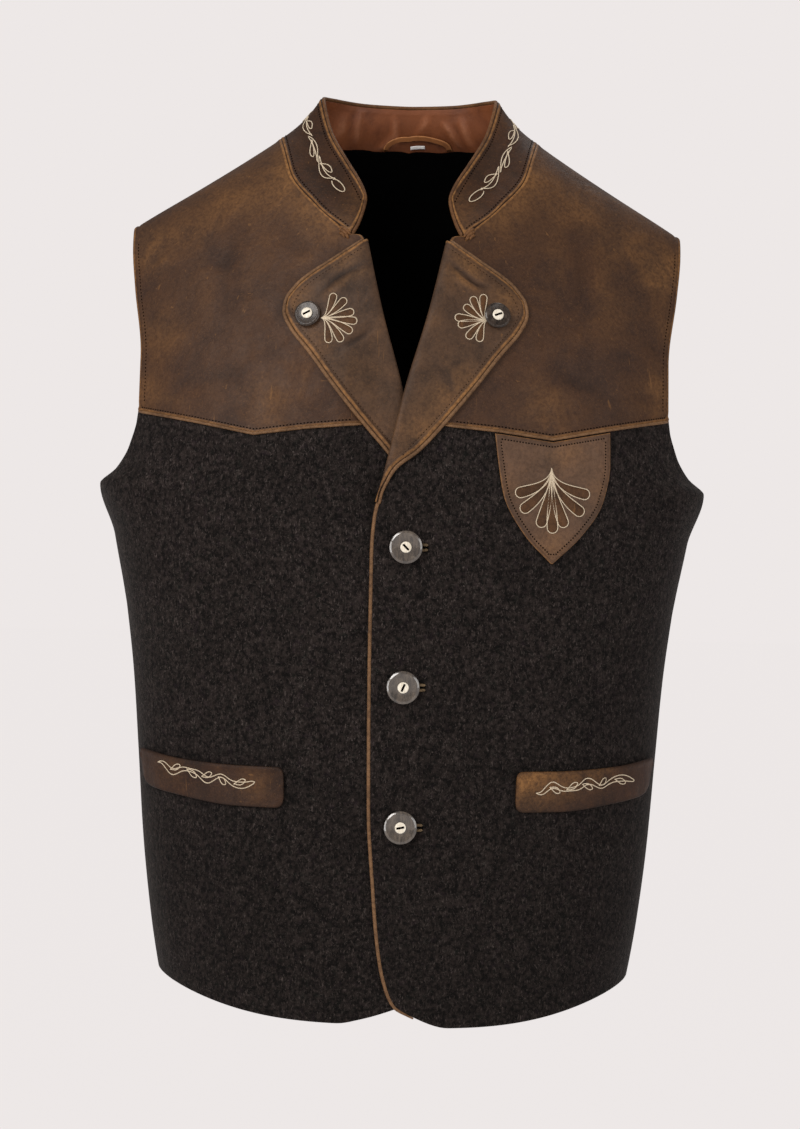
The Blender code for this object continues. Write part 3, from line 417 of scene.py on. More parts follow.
def body(x, z, face):
    """Points and outward normals of the rounded body, kept half a seam gap off the side line."""
    x, z, face = np.broadcast_arrays(np.asarray(x, float), z, face)
    depth = body_depth(z, face)
    out = depth * fullness(x, z) ** (1 / SQUARENESS)
    on_side = (np.abs(x) > half_width(z) - SEAM_GAP) & (out < SEAM_GAP / 2)
    y = face * np.where(on_side, SEAM_GAP / 2, out)
    step = 1e-5

    def outside(dx, dz):
        """Below 0 inside the body and above 0 outside it."""
        depth_here = body_depth(z + dz, face)
        return (out / depth_here) ** SQUARENESS - fullness(x + dx, z + dz)

    slope_x = (outside(step, 0) - outside(-step, 0)) / (2 * step)
    slope_z = (outside(0, step) - outside(0, -step)) / (2 * step)
    slope_y = face * SQUARENESS * out ** (SQUARENESS - 1) / depth**SQUARENESS
    normals = stacked(slope_x, slope_y, slope_z)
    return stacked(x, y, z), unit(normals)


def tuck(side, m, z):
    """How far the under front is pressed in. m is the distance out from the centre, to its own side."""
    if side == LEFT:
        return np.zeros(np.broadcast(m, z).shape)
    share = ease((TUCK_STARTS_AT - m) / (TUCK_STARTS_AT - TUCK_FULL_AT))
    return share * smooth(TUCK, "depth", z)


def on_front(side, m, z, lift):
    """Points lifted off the wearer's left or right front. m is the distance out from the centre."""
    points, normals = body(side * np.asarray(m, float), z, FRONT)
    height = np.asarray(lift) - tuck(side, m, z)
    return points + normals * height[..., None]


def front_edge(z):
    """The finished front edge or roll line, as a distance out from the centre: negative past it."""
    return -smooth(FRONT_EDGE, "past_centre", z)


def armhole_x(z, face):
    return smooth(ARMHOLE, "front_x" if face == FRONT else "back_x", z)


def yoke_seam(x):
    return np.interp(x, *zip(*YOKE_SEAM))


def stretch(*stops):
    """Even steps between stops: stretch(0, 4, 0.5, 2, 1) has 4 steps to 0.5 and then 2 to 1."""
    values = [stops[0]]
    for count, end in zip(stops[1::2], stops[2::2]):
        values += list(np.linspace(values[-1], end, count + 1)[1:])
    return np.array(values)


def unit(vectors):
    return vectors / np.linalg.norm(vectors, axis=-1, keepdims=True)


def beside(places, distance):
    """A line of places moved to its own left."""
    run = unit(np.gradient(places, axis=0))
    return places + stacked(-run[:, 1], run[:, 0]) * distance


def smoothed(line, times):
    """A line with its corners rounded off and its ends kept."""
    for _ in range(times):
        line[1:-1] = (line[:-2] + 2 * line[1:-1] + line[2:]) / 4
    return line


def coons(start, end, first, last, across, along):
    """A patch between four edges. Start and end run along; first and last run across."""
    across, along = np.asarray(across), np.asarray(along)
    ends = np.array([0.0, 1.0])
    (near_start, far_start), (near_end, far_end) = start(ends), end(ends)
    s, t = across[None, :, None], along[:, None, None]
    corners = (1 - s) * (1 - t) * near_start + s * (1 - t) * near_end
    corners = corners + (1 - s) * t * far_start + s * t * far_end
    lengthwise = (1 - s) * start(along)[:, None] + s * end(along)[:, None]
    return lengthwise + (1 - t) * first(across)[None] + t * last(across)[None] - corners


SeamStop = namedtuple("SeamStop", "share x height")


def reach_along(line):
    """How far each point of a line is from its start, along it."""
    return np.concatenate([[0], np.cumsum(np.linalg.norm(np.diff(line, axis=0), axis=1))])


def read_line(at, lengths, values):
    """Every column of a line, read at places along it."""
    return np.stack([np.interp(at, lengths, column) for column in np.transpose(values)], axis=-1)


def outline(rows):
    """A table of points as a smooth line, read by the share of its length."""
    places = np.array(rows)
    lengths = reach_along(places)
    stops = [SeamStop(share, *place) for share, place in zip(lengths / lengths[-1], places)]

    def read(at):
        return stacked(smooth(stops, "x", at), smooth(stops, "height", at))

    return read


def hem_height(side, share):
    corner = np.clip(1 - share * half_width(HEM_SIDE) / HEM_CORNER_WIDTH, 0, 1) ** 2
    lowest = HEM_FRONT[side]
    return lowest + (HEM_SIDE - lowest) * share**3 + HEM_CORNER_RISE[side] * corner


def under_reach(side, share, z):
    """How much further the under front reaches beneath the lapping one."""
    if side == LEFT:
        return np.zeros(np.broadcast(share, z).shape)
    return (UNDER_REACH * ease((UNDER_REACH_STARTS - z) / UNDER_REACH_HEIGHT)
            * np.clip(1 - share / UNDER_REACH_SHARE, 0, 1))


def across_front(share, z):
    """A place on the front, as a share of the way from its front edge to the side seam."""
    edge = front_edge(z) + EDGE_ROOM
    return edge + (core_width(z) - edge) * share + flare(z) * near_side(share)


def neck_seam(station):
    """The neck seam, as a place across and a root below the shoulder line."""
    return smooth(COLLAR, "seam_x", station), smooth(COLLAR, "seam_root", station)


def station_at(root):
    """The collar station where the neck seam has this root."""
    stations = even(400)
    return np.interp(root, neck_seam(stations)[1], stations)


def collar_grid(stations, rises, lift):
    """Points of the stand collar. A rise of 0 is the neck seam and 1 the top edge."""
    at = np.abs(stations)
    side = np.where(stations < 0, -1, 1)
    seam_x, seam_root = neck_seam(at)
    face = np.where(seam_root < 0, BACK, FRONT)
    seam, _ = body(side * seam_x, below_shoulder(seam_x, seam_root), face)
    top = stacked(side * smooth(COLLAR, "top_x", at),
                  smooth(COLLAR, "top_y", at),
                  smooth(COLLAR, "top_z", at))
    rise = np.asarray(rises)[:, None, None]
    bow = np.sin(math.pi * rise[..., 0])
    end = np.clip((at - 1 + COLLAR_END_LENGTH) / COLLAR_END_LENGTH, 0, 1)
    points = seam + (top - seam) * rise * (1 - COLLAR_CORNER * end**3)[:, None]
    belly = np.sin(COLLAR_END_BELLY * math.pi * rise[..., 0])
    points[..., 0] -= side * COLLAR_END_BOW * belly * end**2 * (3 - 2 * end)
    out = np.cross(np.gradient(points, axis=0), np.gradient(points, axis=1))
    return points + unit(out) * (lift - COLLAR_HOLLOW * bow)[..., None]


def collar_spot(station, rise, lift):
    """One point of the stand collar."""
    near = 0.01
    return collar_grid(station + np.array([-near, 0, near]), [rise, rise + near], lift)[0, 1]


def lapel_edges(side):
    """A lapel's roll line, outer edge, top edge and foot."""
    outer = outline(LAPEL_OUTER_EDGE[:-1] + LAPEL_TIP if side == LEFT else LAPEL_OUTER_EDGE)
    lowest = LAPEL_TIP[-1].height if side == LEFT else LAPEL_FOOT

    def roll(at):
        z = LAPEL_TOP_EDGE[0].height + (lowest - LAPEL_TOP_EDGE[0].height) * at
        return stacked(front_edge(z), z)

    def foot(at):
        start, end = roll(np.ones(1))[0], outer(np.ones(1))[0]
        return start + (end - start) * at[:, None]

    return roll, outer, outline(LAPEL_TOP_EDGE), foot


def lapel_places(across, along, edges):
    roll_line, outer_edge, top_edge, foot = edges
    rows = [coons(roll_line, outer_edge, top_edge, foot, share, at[None])[0]
            for share, at in zip(across, along)]
    return np.array(rows)


# Making meshes

def spans(points):
    """How far each point of a grid is from its first and last column and its first and last row."""
    across = np.linalg.norm(np.diff(points, axis=1), axis=-1)
    along = np.linalg.norm(np.diff(points, axis=0), axis=-1)
    u = np.concatenate([np.zeros((len(points), 1)), np.cumsum(across, axis=1)], axis=1)
    v = np.concatenate([np.zeros((1, points.shape[1])), np.cumsum(along, axis=0)], axis=0)
    return u, u[:, -1:] - u, v, v[-1:] - v


def drawn_in(stops, size, thick):
    """Shares from 0 to 1 with a few more close to each end, where the edge is rounded over."""
    close = np.array([0.0, 0.07, 0.27, 0.6, 1.0, 2.0]) * thick / 2 / size
    inner = stops[(stops > 1.6 * close[-1]) & (stops < 1 - 1.6 * close[-1])]
    return np.concatenate([close, inner, 1 - close[::-1]])


def layers(points, normals, thick, lift=0.0, raised=0.0):
    """The outer and inner faces of a wall, rounded over at its edges. Its outer face lies at the lift."""
    near = np.minimum.reduce(spans(points))
    round_over = np.sqrt(1 - (1 - np.clip(near / (thick / 2), 0, 1)) ** 2)
    middle, swell = lift - thick / 2, thick / 2 * round_over
    outer = points + normals * np.asarray(middle + swell + raised * round_over)[..., None]
    inner = points + normals * np.asarray(middle - swell)[..., None]
    return outer, inner


def hill(distance, at, width):
    return np.exp(-(((distance - at) / width) ** 2))


def ridged(distance, *ridges):
    """Raised and sunken lines beside an edge, each a height, a distance and a width."""
    return sum(height * hill(distance, at, width) for height, at, width in ridges)


def placed(name, data):
    thing = bpy.data.objects.new(name, data)
    bpy.context.scene.collection.objects.link(thing)
    return thing


def settled(thing):
    """Keeps what a thing's modifiers make of it as its own mesh."""
    graph = bpy.context.evaluated_depsgraph_get()
    made = bpy.data.meshes.new_from_object(thing.evaluated_get(graph), depsgraph=graph)
    thing.modifiers.clear()
    thing.data = made


def solid(name, points, faces, finish, uvs=None, **marks):
    """A smooth mesh with its finish, its cloth coordinates and its named marks, one number a point."""
    mesh = bpy.data.meshes.new(name)
    mesh.from_pydata(points, [], faces)
    mesh.materials.append(finish)
    mesh.shade_smooth()
    if uvs is not None:
        corners = np.empty(len(mesh.loops), int)
        mesh.loops.foreach_get("vertex_index", corners)
        layer = mesh.uv_layers.new(name="cloth")
        layer.data.foreach_set("uv", np.asarray(uvs, np.float32)[corners].ravel())
    for mark, values in marks.items():
        attribute = mesh.attributes.new(mark, "FLOAT", "POINT")
        attribute.data.foreach_set("value", np.asarray(values, np.float32))
    return placed(name, mesh)


def quads(index):
    """The faces between the neighbours of a grid of point numbers."""
    corners = (index[:-1, :-1], index[:-1, 1:], index[1:, 1:], index[1:, :-1])
    return np.stack(corners, axis=-1).reshape(-1, 4)


def shell_parts(upper, under, worn="lrfe", wear=0.0):
    """Points, faces, cloth coordinates and marks of a closed shell between two grids that share their rims."""
    rows, columns = upper.shape[:2]
    rim = np.ones((rows, columns), bool)
    rim[1:-1, 1:-1] = False
    upper = np.where(rim[..., None], (upper + under) / 2, upper)
    index = np.arange(rows * columns).reshape(rows, columns)
    lower = index.copy()
    lower[1:-1, 1:-1] = rows * columns + np.arange((rows - 2) * (columns - 2)).reshape(rows - 2, -1)
    sides = spans(upper)
    edge = np.minimum.reduce([sides["lrfe".index(side)] for side in worn] or [np.ones((rows, columns))])
    wear = np.broadcast_to(wear, (rows, columns))
    row, column = rows // 2, columns // 2
    middle = upper[row, column]
    faces_out = np.cross(upper[row, column + 1] - middle, upper[row + 1, column] - middle)
    outwards = faces_out @ (middle - under[row, column]) > 0
    top, low = quads(index), quads(lower)
    faces = np.concatenate([top, low[:, ::-1]] if outwards else [top[:, ::-1], low])
    inside = (slice(1, -1), slice(1, -1))

    def both(values):
        return np.concatenate([values.reshape(rows * columns, -1),
                               values[inside].reshape((rows - 2) * (columns - 2), -1)])

    points = np.concatenate([upper.reshape(-1, 3), under[inside].reshape(-1, 3)])
    uvs = both(stacked(sides[0], sides[2]))
    return points, faces, uvs, both(edge)[:, 0], both(wear)[:, 0]


def joined(name, parts, finish):
    """One mesh from several sets of points, faces, cloth coordinates and marks."""
    start, faces = 0, []
    for part in parts:
        faces += [[corner + start for corner in face] for face in np.asarray(part[1], object).tolist()]
        start += len(part[0])
    points, uvs, edge, wear = (np.concatenate([part[i] for part in parts]) for i in (0, 2, 3, 4))
    return solid(name, points, faces, finish, uvs, edge=edge, wear=wear)


def shell(name, upper, under, finish, worn="lrfe", wear=0.0):
    return joined(name, [shell_parts(upper, under, worn, wear)], finish)


CORD_END = np.array([(0.55, 0.95), (0.8, 0.3)])  # how far out its last two rings are, and their radius
CLOTH_ROUND = 0.008  # the cloth coordinates' span round a cord


def tube_parts(path, radius, sides=12, edge=0.002, flat=1.0, out=None):
    """A round cord along a path, with rounded ends. The radius may change along it, and flat squashes it."""
    radius = np.broadcast_to(radius, len(path)).astype(float)
    run = unit(np.gradient(path, axis=0))
    if out is None:
        up = [unit(np.cross(run[0], [0.3, 0.5, 0.81]))]
        for step in run[1:]:
            up.append(unit(up[-1] - step * (up[-1] @ step)))
    else:
        up = unit(out - run * (out * run).sum(axis=-1, keepdims=True))
    over = np.cross(run, up)
    far, slim = CORD_END
    first = path[0] - run[0] * radius[0] * far[::-1, None]
    last = path[-1] + run[-1] * radius[-1] * far[:, None]
    path = np.concatenate([first, path, last])
    radius = np.concatenate([radius[0] * slim[::-1], radius, radius[-1] * slim])
    up, over = (np.pad(way, ((2, 2), (0, 0)), "edge") for way in (up, over))
    turn = np.linspace(0, 2 * math.pi, sides, endpoint=False)
    ring = over[:, None] * np.cos(turn)[:, None] + up[:, None] * np.sin(turn)[:, None] * flat
    points = (path[:, None] + ring * radius[:, None, None]).reshape(-1, 3)
    index = np.arange(len(points)).reshape(-1, sides)
    faces = quads(np.append(index, index[:, :1], axis=1)).tolist()
    faces += [index[0].tolist(), index[-1, ::-1].tolist()]
    uvs = stacked(np.tile(turn / (2 * math.pi) * CLOTH_ROUND, len(path)), np.repeat(reach_along(path), sides))
    return points, faces, uvs, np.full(len(points), edge), np.zeros(len(points))


def tube(name, path, radius, finish, **shape):
    points, faces, uvs, edge, wear = tube_parts(path, radius, **shape)
    return solid(name, points, faces, finish, uvs, edge=edge, wear=wear)


def ride(thing, finish_slot, *nodes):
    """Fixes a piece to the vest, in place of the solids it stands for."""
    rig.ride(thing, "root")
    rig.slot(thing, finish_slot)
    if nodes:
        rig.replaces(thing, *nodes)
    return thing


# Creases: soft troughs with a low lip on both sides, each along a line of places in metres.
Crease = namedtuple("Crease", "depth width line")
Knot = namedtuple("Knot", "at x y")
CREASE_STEPS = 24


def creased(places, creases):
    """How far the cloth is pushed in or out, for a grid of places."""
    push = np.zeros(places.shape[:-1])
    for crease in creases:
        line = np.array(crease.line, float)
        lengths = reach_along(line)
        fine = np.linspace(0, lengths[-1], CREASE_STEPS)
        rows = [Knot(at, *place) for at, place in zip(lengths, line)]
        line = stacked(smooth(rows, "x", fine), smooth(rows, "y", fine))
        away = np.linalg.norm(places[..., None, :] - line, axis=-1)
        nearest = away.argmin(axis=-1)
        away = away.min(axis=-1) / crease.width
        fade = np.sin(math.pi * (0.04 + 0.92 * nearest / (CREASE_STEPS - 1))) ** 0.8
        push -= crease.depth * fade * (1 - 0.55 * away**2) * np.exp(-(away**2))
    return push


def kept_flat(points, reach):
    """How far a place is from its sheet's edges: 0 at an edge and 1 from the reach on."""
    return ease(np.minimum.reduce(spans(points)) / reach)


# Folds are painted paler, partly as pull-up paling and partly as painted highlight; creases are painted darker as
# painted shade.
FULLY_PULLED = 0.0012  # the height of a fold where the leather is at its palest


def pull_up_and_painted_light(push):
    """How much paler the leather is over a fold, partly pull-up paling and partly painted highlight, and darker in a
    crease as painted shade: below nought is darker.
    """
    return np.clip(push / FULLY_PULLED, -1.0, 0.8)


def seen(cloth):
    return stacked(cloth[..., 0], cloth[..., 2])


# Felt

FELT_RIM = 0.012  # how near its edges the felt is free of folds
SIDE_LAP = 0.0005  # the side seams are closed: each front's edge reaches a little into the back's
FRONT_CREASES = by_side(Crease, (
    (-0.0016, 0.02, ((0.01, -0.352), (0.034, -0.392), (0.058, -0.436))),
    (0.0016, 0.018, ((0.104, -0.325), (0.09, -0.352), (0.074, -0.382))),
    (0.0007, 0.005, ((0.024, -0.301), (0.048, -0.296), (0.07, -0.289))),
    (0.0006, 0.005, ((0.022, -0.379), (0.04, -0.374), (0.058, -0.364))),
    (0.0005, 0.005, ((0.024, -0.505), (0.046, -0.508), (0.066, -0.517))),
    (0.0012, 0.016, ((0.085, -0.52), (0.078, -0.56), (0.084, -0.6))),
    (-0.0009, 0.01, ((0.018, -0.622), (0.042, -0.611), (0.068, -0.622))),
    (0.0014, 0.013, ((0.186, -0.262), (0.17, -0.285), (0.158, -0.32))),
    (0.001, 0.012, ((0.178, -0.5), (0.165, -0.545), (0.158, -0.6))),
    (0.0008, 0.008, ((0.14, -0.5), (0.15, -0.512), (0.168, -0.516)))), (
    (0.0015, 0.018, ((-0.118, -0.333), (-0.112, -0.37), (-0.096, -0.412))),
    (-0.0012, 0.017, ((-0.074, -0.262), (-0.066, -0.32), (-0.05, -0.385))),
    (0.0016, 0.018, ((-0.038, -0.525), (-0.046, -0.57), (-0.062, -0.625))),
    (0.0013, 0.013, ((-0.187, -0.258), (-0.172, -0.284), (-0.166, -0.325))),
    (0.001, 0.014, ((-0.15, -0.505), (-0.142, -0.548), (-0.15, -0.598))),
    (0.0006, 0.006, ((-0.03, -0.3), (-0.052, -0.306), (-0.078, -0.3))),
    (0.0005, 0.006, ((-0.028, -0.404), (-0.05, -0.412), (-0.07, -0.408))),
    (-0.0008, 0.011, ((-0.12, -0.622), (-0.09, -0.63), (-0.06, -0.634)))))
BACK_CREASES = table(Crease, (
    (0.0018, 0.02, ((0.172, -0.245), (0.15, -0.29), (0.138, -0.35))),
    (0.0016, 0.019, ((-0.17, -0.25), (-0.152, -0.3), (-0.146, -0.365))),
    (-0.0014, 0.024, ((0.052, -0.3), (0.046, -0.38), (0.058, -0.47))),
    (0.0015, 0.02, ((-0.06, -0.34), (-0.05, -0.42), (-0.056, -0.5))),
    (0.0009, 0.01, ((-0.06, -0.052), (0.0, -0.066), (0.055, -0.05))),
    (0.0007, 0.008, ((-0.046, -0.078), (0.006, -0.092), (0.05, -0.08))),
    (0.0014, 0.018, ((0.11, -0.52), (0.104, -0.565), (0.112, -0.61))),
    (-0.0011, 0.016, ((-0.012, -0.52), (-0.004, -0.57), (-0.01, -0.615))),
    (0.0012, 0.015, ((-0.128, -0.5), (-0.12, -0.55), (-0.128, -0.606)))))


def felt_front(side, felt):
    """The front below its yoke, from the hem up to the yoke seam and the armhole."""
    holes = np.linspace(ARMHOLE_TURN, UNDERARM, 60)
    fine = even(500)
    hole_share = [np.interp(armhole_x(hole, FRONT), across_front(fine, hole), fine) for hole in holes]
    seam_edge = front_edge(YOKE_SEAM[1].height) + EDGE_ROOM
    point_share = (YOKE_POINT_X - seam_edge) / (core_width(YOKE_SEAM[3].height) - seam_edge)
    share = stretch(0, 16, TUCK_SHARE, 14, point_share, 16, hole_share[0], 10, 0.96, 8, 1)
    share = drawn_in(share, 0.19, WOOL)
    top = np.full(share.shape, YOKE_SEAM[3].height)
    for _ in range(6):
        x = across_front(share, top)
        top = np.where(share > hole_share[0] - 1e-9, np.interp(share, hole_share, holes), yoke_seam(x))
    hem = hem_height(side, share)
    rise = drawn_in(even(96), 0.41, WOOL)[:, None]
    z = hem + (top - SEAM_GAP / 2 - hem) * rise
    m = across_front(share, z) - under_reach(side, share, z)
    points, normals = body(side * m, z, FRONT)
    points[:, -1, 1] += SIDE_LAP
    push = creased(seen(points), FRONT_CREASES[side])
    lift = push * kept_flat(points, FELT_RIM) - tuck(side, m, z)
    name = "front_" + WORD[side]
    made = shell("felt_" + name, *layers(points, normals, WOOL, lift), felt, worn="")
    return ride(made, "wool felt", name)


def fine_back_grid():
    """Places on the back, from its hem to the armholes, the shoulder seams and the neck."""
    neck_x, neck_root = neck_seam(np.linspace(0, station_at(SHOULDER_SEAM), 22))
    neck = neck_x / SHOULDER_TIP_X
    half = np.append(neck, stretch(neck[-1], 12, 0.88, 9, 0.97, 8, 1)[1:])
    half = drawn_in(half, 0.2, WOOL)[6:]
    half = np.append(0.0, half)
    share = np.concatenate([-half[:0:-1], half])
    size = np.abs(share)
    hem = HEM_BACK + (HEM_SIDE - HEM_BACK) * size**3
    low = np.concatenate([drawn_in(even(50), 0.37, WOOL)[:-6], [0.985]])
    low_z = hem + (UNDERARM - hem) * low[:, None]
    low_x = core_width(low_z) * share + flare(low_z) * near_side(share) * np.sign(share)

    gap_root = SHOULDER_SEAM - SHOULDER_SEAM_GAP
    top_root = np.interp(size, neck, neck_root - NECK_SEAM_GAP, right=gap_root)
    top_root = np.minimum(top_root, gap_root)
    coarse_rise = stretch(0, 6, 0.17, 8, 1)
    tip = below_shoulder(SHOULDER_TIP_X, gap_root)
    coarse_z = np.append((UNDERARM, *UNDERARM_ROWS), np.linspace(ARMHOLE_TURN, tip, 9))
    steps = np.arange(len(coarse_z))
    at = np.concatenate([np.linspace(0, 14, 66)[:-1], 14 - np.array([0.05, 0.018, 0.005, 0.0])])
    rows = [Knot(*row) for row in zip(steps, coarse_rise, coarse_z)]
    rise, side_z = smooth(rows, "x", at)[:, None], smooth(rows, "y", at)[:, None]
    side_x = np.minimum(armhole_x(side_z, BACK), half_width(side_z))
    side_x[-1] = SHOULDER_TIP_X
    core = np.minimum(side_x, core_width(side_z))
    high_x = core * share + (side_x - core) * near_side(share) * np.sign(share)
    root = root_of(high_x[0], UNDERARM) * (1 - rise) - top_root * rise
    root = root + (root_of(side_x, side_z) - root[:, -1:]) * size**4
    high_z = below_shoulder(high_x, root)
    return np.concatenate([low_x, high_x]), np.concatenate([low_z, high_z])


def felt_back(felt, lining):
    points, normals = body(*fine_back_grid(), BACK)
    points[:, 0, 1] -= SIDE_LAP
    points[:, -1, 1] -= SIDE_LAP
    push = creased(seen(points), BACK_CREASES) * kept_flat(points, FELT_RIM)
    made = shell("felt_back", *layers(points, normals, WOOL, push), felt, worn="")
    ride(made, "wool felt", "back")
    lift = push * 0.5 - WOOL - SEAM_GAP
    inner = shell("lining_back", *layers(points, normals, LINING, lift), lining, worn="")
    ride(inner, "black lining", "back_lining")


# Leather

YOKE_CREASES = by_side(Crease, (
    (0.0008, 0.0035, ((0.1757, -0.1493), (0.1802, -0.154), (0.1851, -0.1604))),
    (-0.0006, 0.003, ((0.1756, -0.1073), (0.185, -0.108), (0.193, -0.107))),
    (0.001, 0.005, ((0.166, -0.1915), (0.178, -0.1935), (0.1894, -0.1973))),
    (0.0013, 0.011, ((0.12, -0.06), (0.128, -0.1), (0.122, -0.14))),
    (0.001, 0.008, ((0.1, -0.165), (0.122, -0.185), (0.15, -0.19)))), (
    (-0.0006, 0.003, ((-0.1855, -0.1025), (-0.18, -0.099), (-0.1743, -0.0952))),
    (-0.0006, 0.0035, ((-0.1836, -0.1977), (-0.17, -0.202), (-0.155, -0.2056))),
    (0.0011, 0.011, ((-0.122, -0.062), (-0.132, -0.105), (-0.126, -0.15))),
    (0.001, 0.009, ((-0.104, -0.172), (-0.128, -0.184), (-0.152, -0.182)))))
# Rubbed and faded places: a middle, a reach and how pale.
Rub = namedtuple("Rub", "x z reach strength")
YOKE_RUBS = by_side(Rub, (
    (0.128, -0.092, 0.034, 0.24), (0.1903, -0.0978, 0.016, 1.3), (0.082, -0.036, 0.02, 0.9),
    (0.062, -0.062, 0.016, 0.8), (0.128, -0.05, 0.022, 0.45), (0.165, -0.075, 0.018, 0.5),
    (0.15, -0.128, 0.022, 0.25), (0.1, -0.204, 0.018, 0.5), (0.188, -0.19, 0.016, 0.6),
    (0.196, -0.14, 0.012, 0.5)), (
    (-0.192, -0.088, 0.016, 0.9), (-0.084, -0.036, 0.022, 1.0), (-0.06, -0.066, 0.018, 0.8),
    (-0.126, -0.052, 0.024, 0.45), (-0.16, -0.072, 0.018, 0.45), (-0.13, -0.12, 0.024, 0.2),
    (-0.18, -0.15, 0.016, 0.45), (-0.098, -0.206, 0.018, 0.4), (-0.19, -0.196, 0.014, 0.4)))
LAPEL_RUBS = by_side(Rub, (
    (0.046, -0.102, 0.012, 0.8), (0.074, -0.126, 0.012, 0.7), (0.04, -0.196, 0.02, 0.7),
    (0.014, -0.225, 0.018, 0.6), (0.03, -0.11, 0.01, 0.5)), (
    (-0.044, -0.098, 0.012, 0.9), (-0.078, -0.13, 0.012, 0.7), (-0.036, -0.186, 0.016, 0.35),
    (-0.06, -0.16, 0.014, 0.3)))


def rubbed(places, rubs):
    return sum(rub.strength * hill(np.linalg.norm(places - (rub.x, rub.z), axis=-1), 0, rub.reach)
               for rub in rubs)


LAPEL_COVERS = 0.66  # from this root on down the lapel covers the yoke's inner edge


def leather_yoke(side, leather):
    """The yoke, from its seam up over the shoulder line to the shoulder seam behind it."""
    seam_start = front_edge(YOKE_SEAM[1].height) + EDGE_ROOM
    roll = np.linspace(float(yoke_seam(seam_start)) + SEAM_GAP / 2, GORGE.height, 7)
    coarse = np.concatenate([stretch(0, 6, station_at(SHOULDER_SEAM), 1, station_at(0.0), 7, 1)[:5:-1]])
    roll_x = front_edge(roll) + EDGE_ROOM
    neck_x, neck_root = neck_seam(coarse)
    rows = len(roll) + len(coarse)
    at = drawn_in(even(84), 0.25, LEATHER) * (rows - 1)
    steps = [Knot(i, *row) for i, row in enumerate(zip(np.concatenate([roll_x, neck_x + SEAM_GAP / 2]),
                                                       np.concatenate([root_of(roll_x, roll), neck_root])))]
    inner_x, inner_root = smooth(steps, "x", at), smooth(steps, "y", at)
    first = float(root_of(YOKE_SEAM[-1].x, YOKE_SEAM[-1].height + SEAM_GAP / 2))
    outer_root = np.interp(at, [0, rows - 2, rows - 1], [first, 0, SHOULDER_SEAM])
    outer_x = np.full(len(at), SHOULDER_TIP_X)
    for _ in range(6):
        outer_x = armhole_x(below_shoulder(outer_x, outer_root), FRONT)
    share = drawn_in(stretch(0, 24, 0.45, 14, 0.82, 16, 1), 0.14, LEATHER)
    x = inner_x[:, None] + (outer_x - inner_x)[:, None] * share
    root = inner_root[:, None] + (outer_root - inner_root)[:, None] * share
    seam_x = np.interp(share, [0, 0.45, 1], [inner_x[0], YOKE_POINT_X, outer_x[0]])
    seam_root = root_of(seam_x, yoke_seam(seam_x) + SEAM_GAP / 2)
    second = int(np.searchsorted(at, 2))
    toward = np.clip(at / at[second], 0, 1)[:, None]
    low = toward < 1
    x = np.where(low, seam_x + (x[second] - seam_x) * toward, x)
    root = np.where(low, seam_root + (root[second] - seam_root) * toward, root)
    z = below_shoulder(x, root)
    points, normals = body(side * x, z, np.where(root < 0, BACK, FRONT))
    from_neck, from_armhole, from_seam, from_back = spans(points)
    raised = ridged(from_armhole, (0.0006, 0.0022, 0.0011), (-0.0004, 0.0046, 0.001))
    raised += ridged(from_seam, (0.0005, 0.0016, 0.0009), (-0.0005, 0.0034, 0.0008))
    at_neck = ridged(from_neck, (0.0005, 0.002, 0.0012)) + ridged(from_back, (0.0004, 0.0016, 0.001))
    raised += at_neck * (root < LAPEL_COVERS)
    push = creased(seen(points), YOKE_CREASES[side])
    name = "yoke_" + WORD[side]
    # Besides the rubbed places, the creases give painted shade in their troughs and painted highlight on their ridges
    # and lips.
    made = shell("leather_" + name, *layers(points, normals, LEATHER, push - tuck(side, x, z), raised), leather,
                 worn="lrf", wear=rubbed(seen(points), YOKE_RUBS[side]) + 0.5 * pull_up_and_painted_light(push))
    return ride(made, "brown leather", name)


LAPEL_CREASES = by_side(Crease, (
    (0.0016, 0.0024, ((0.029, -0.101), (0.0399, -0.11), (0.05, -0.1177), (0.058, -0.12))),
    (-0.0008, 0.003, ((0.032, -0.108), (0.042, -0.117), (0.052, -0.1225))),
    (0.0008, 0.004, ((0.018, -0.172), (0.03, -0.186), (0.036, -0.198)))), (
    (0.0012, 0.0026, ((-0.0278, -0.1036), (-0.0467, -0.1132), (-0.0628, -0.1263))),
    (-0.0007, 0.0034, ((-0.027, -0.1085), (-0.045, -0.1185), (-0.06, -0.131))),
    (0.0009, 0.0032, ((-0.0219, -0.149), (-0.0345, -0.1592), (-0.0492, -0.1666)))))
TAPER_WIDTH = 0.0085  # below this width the roll narrows with the lapel


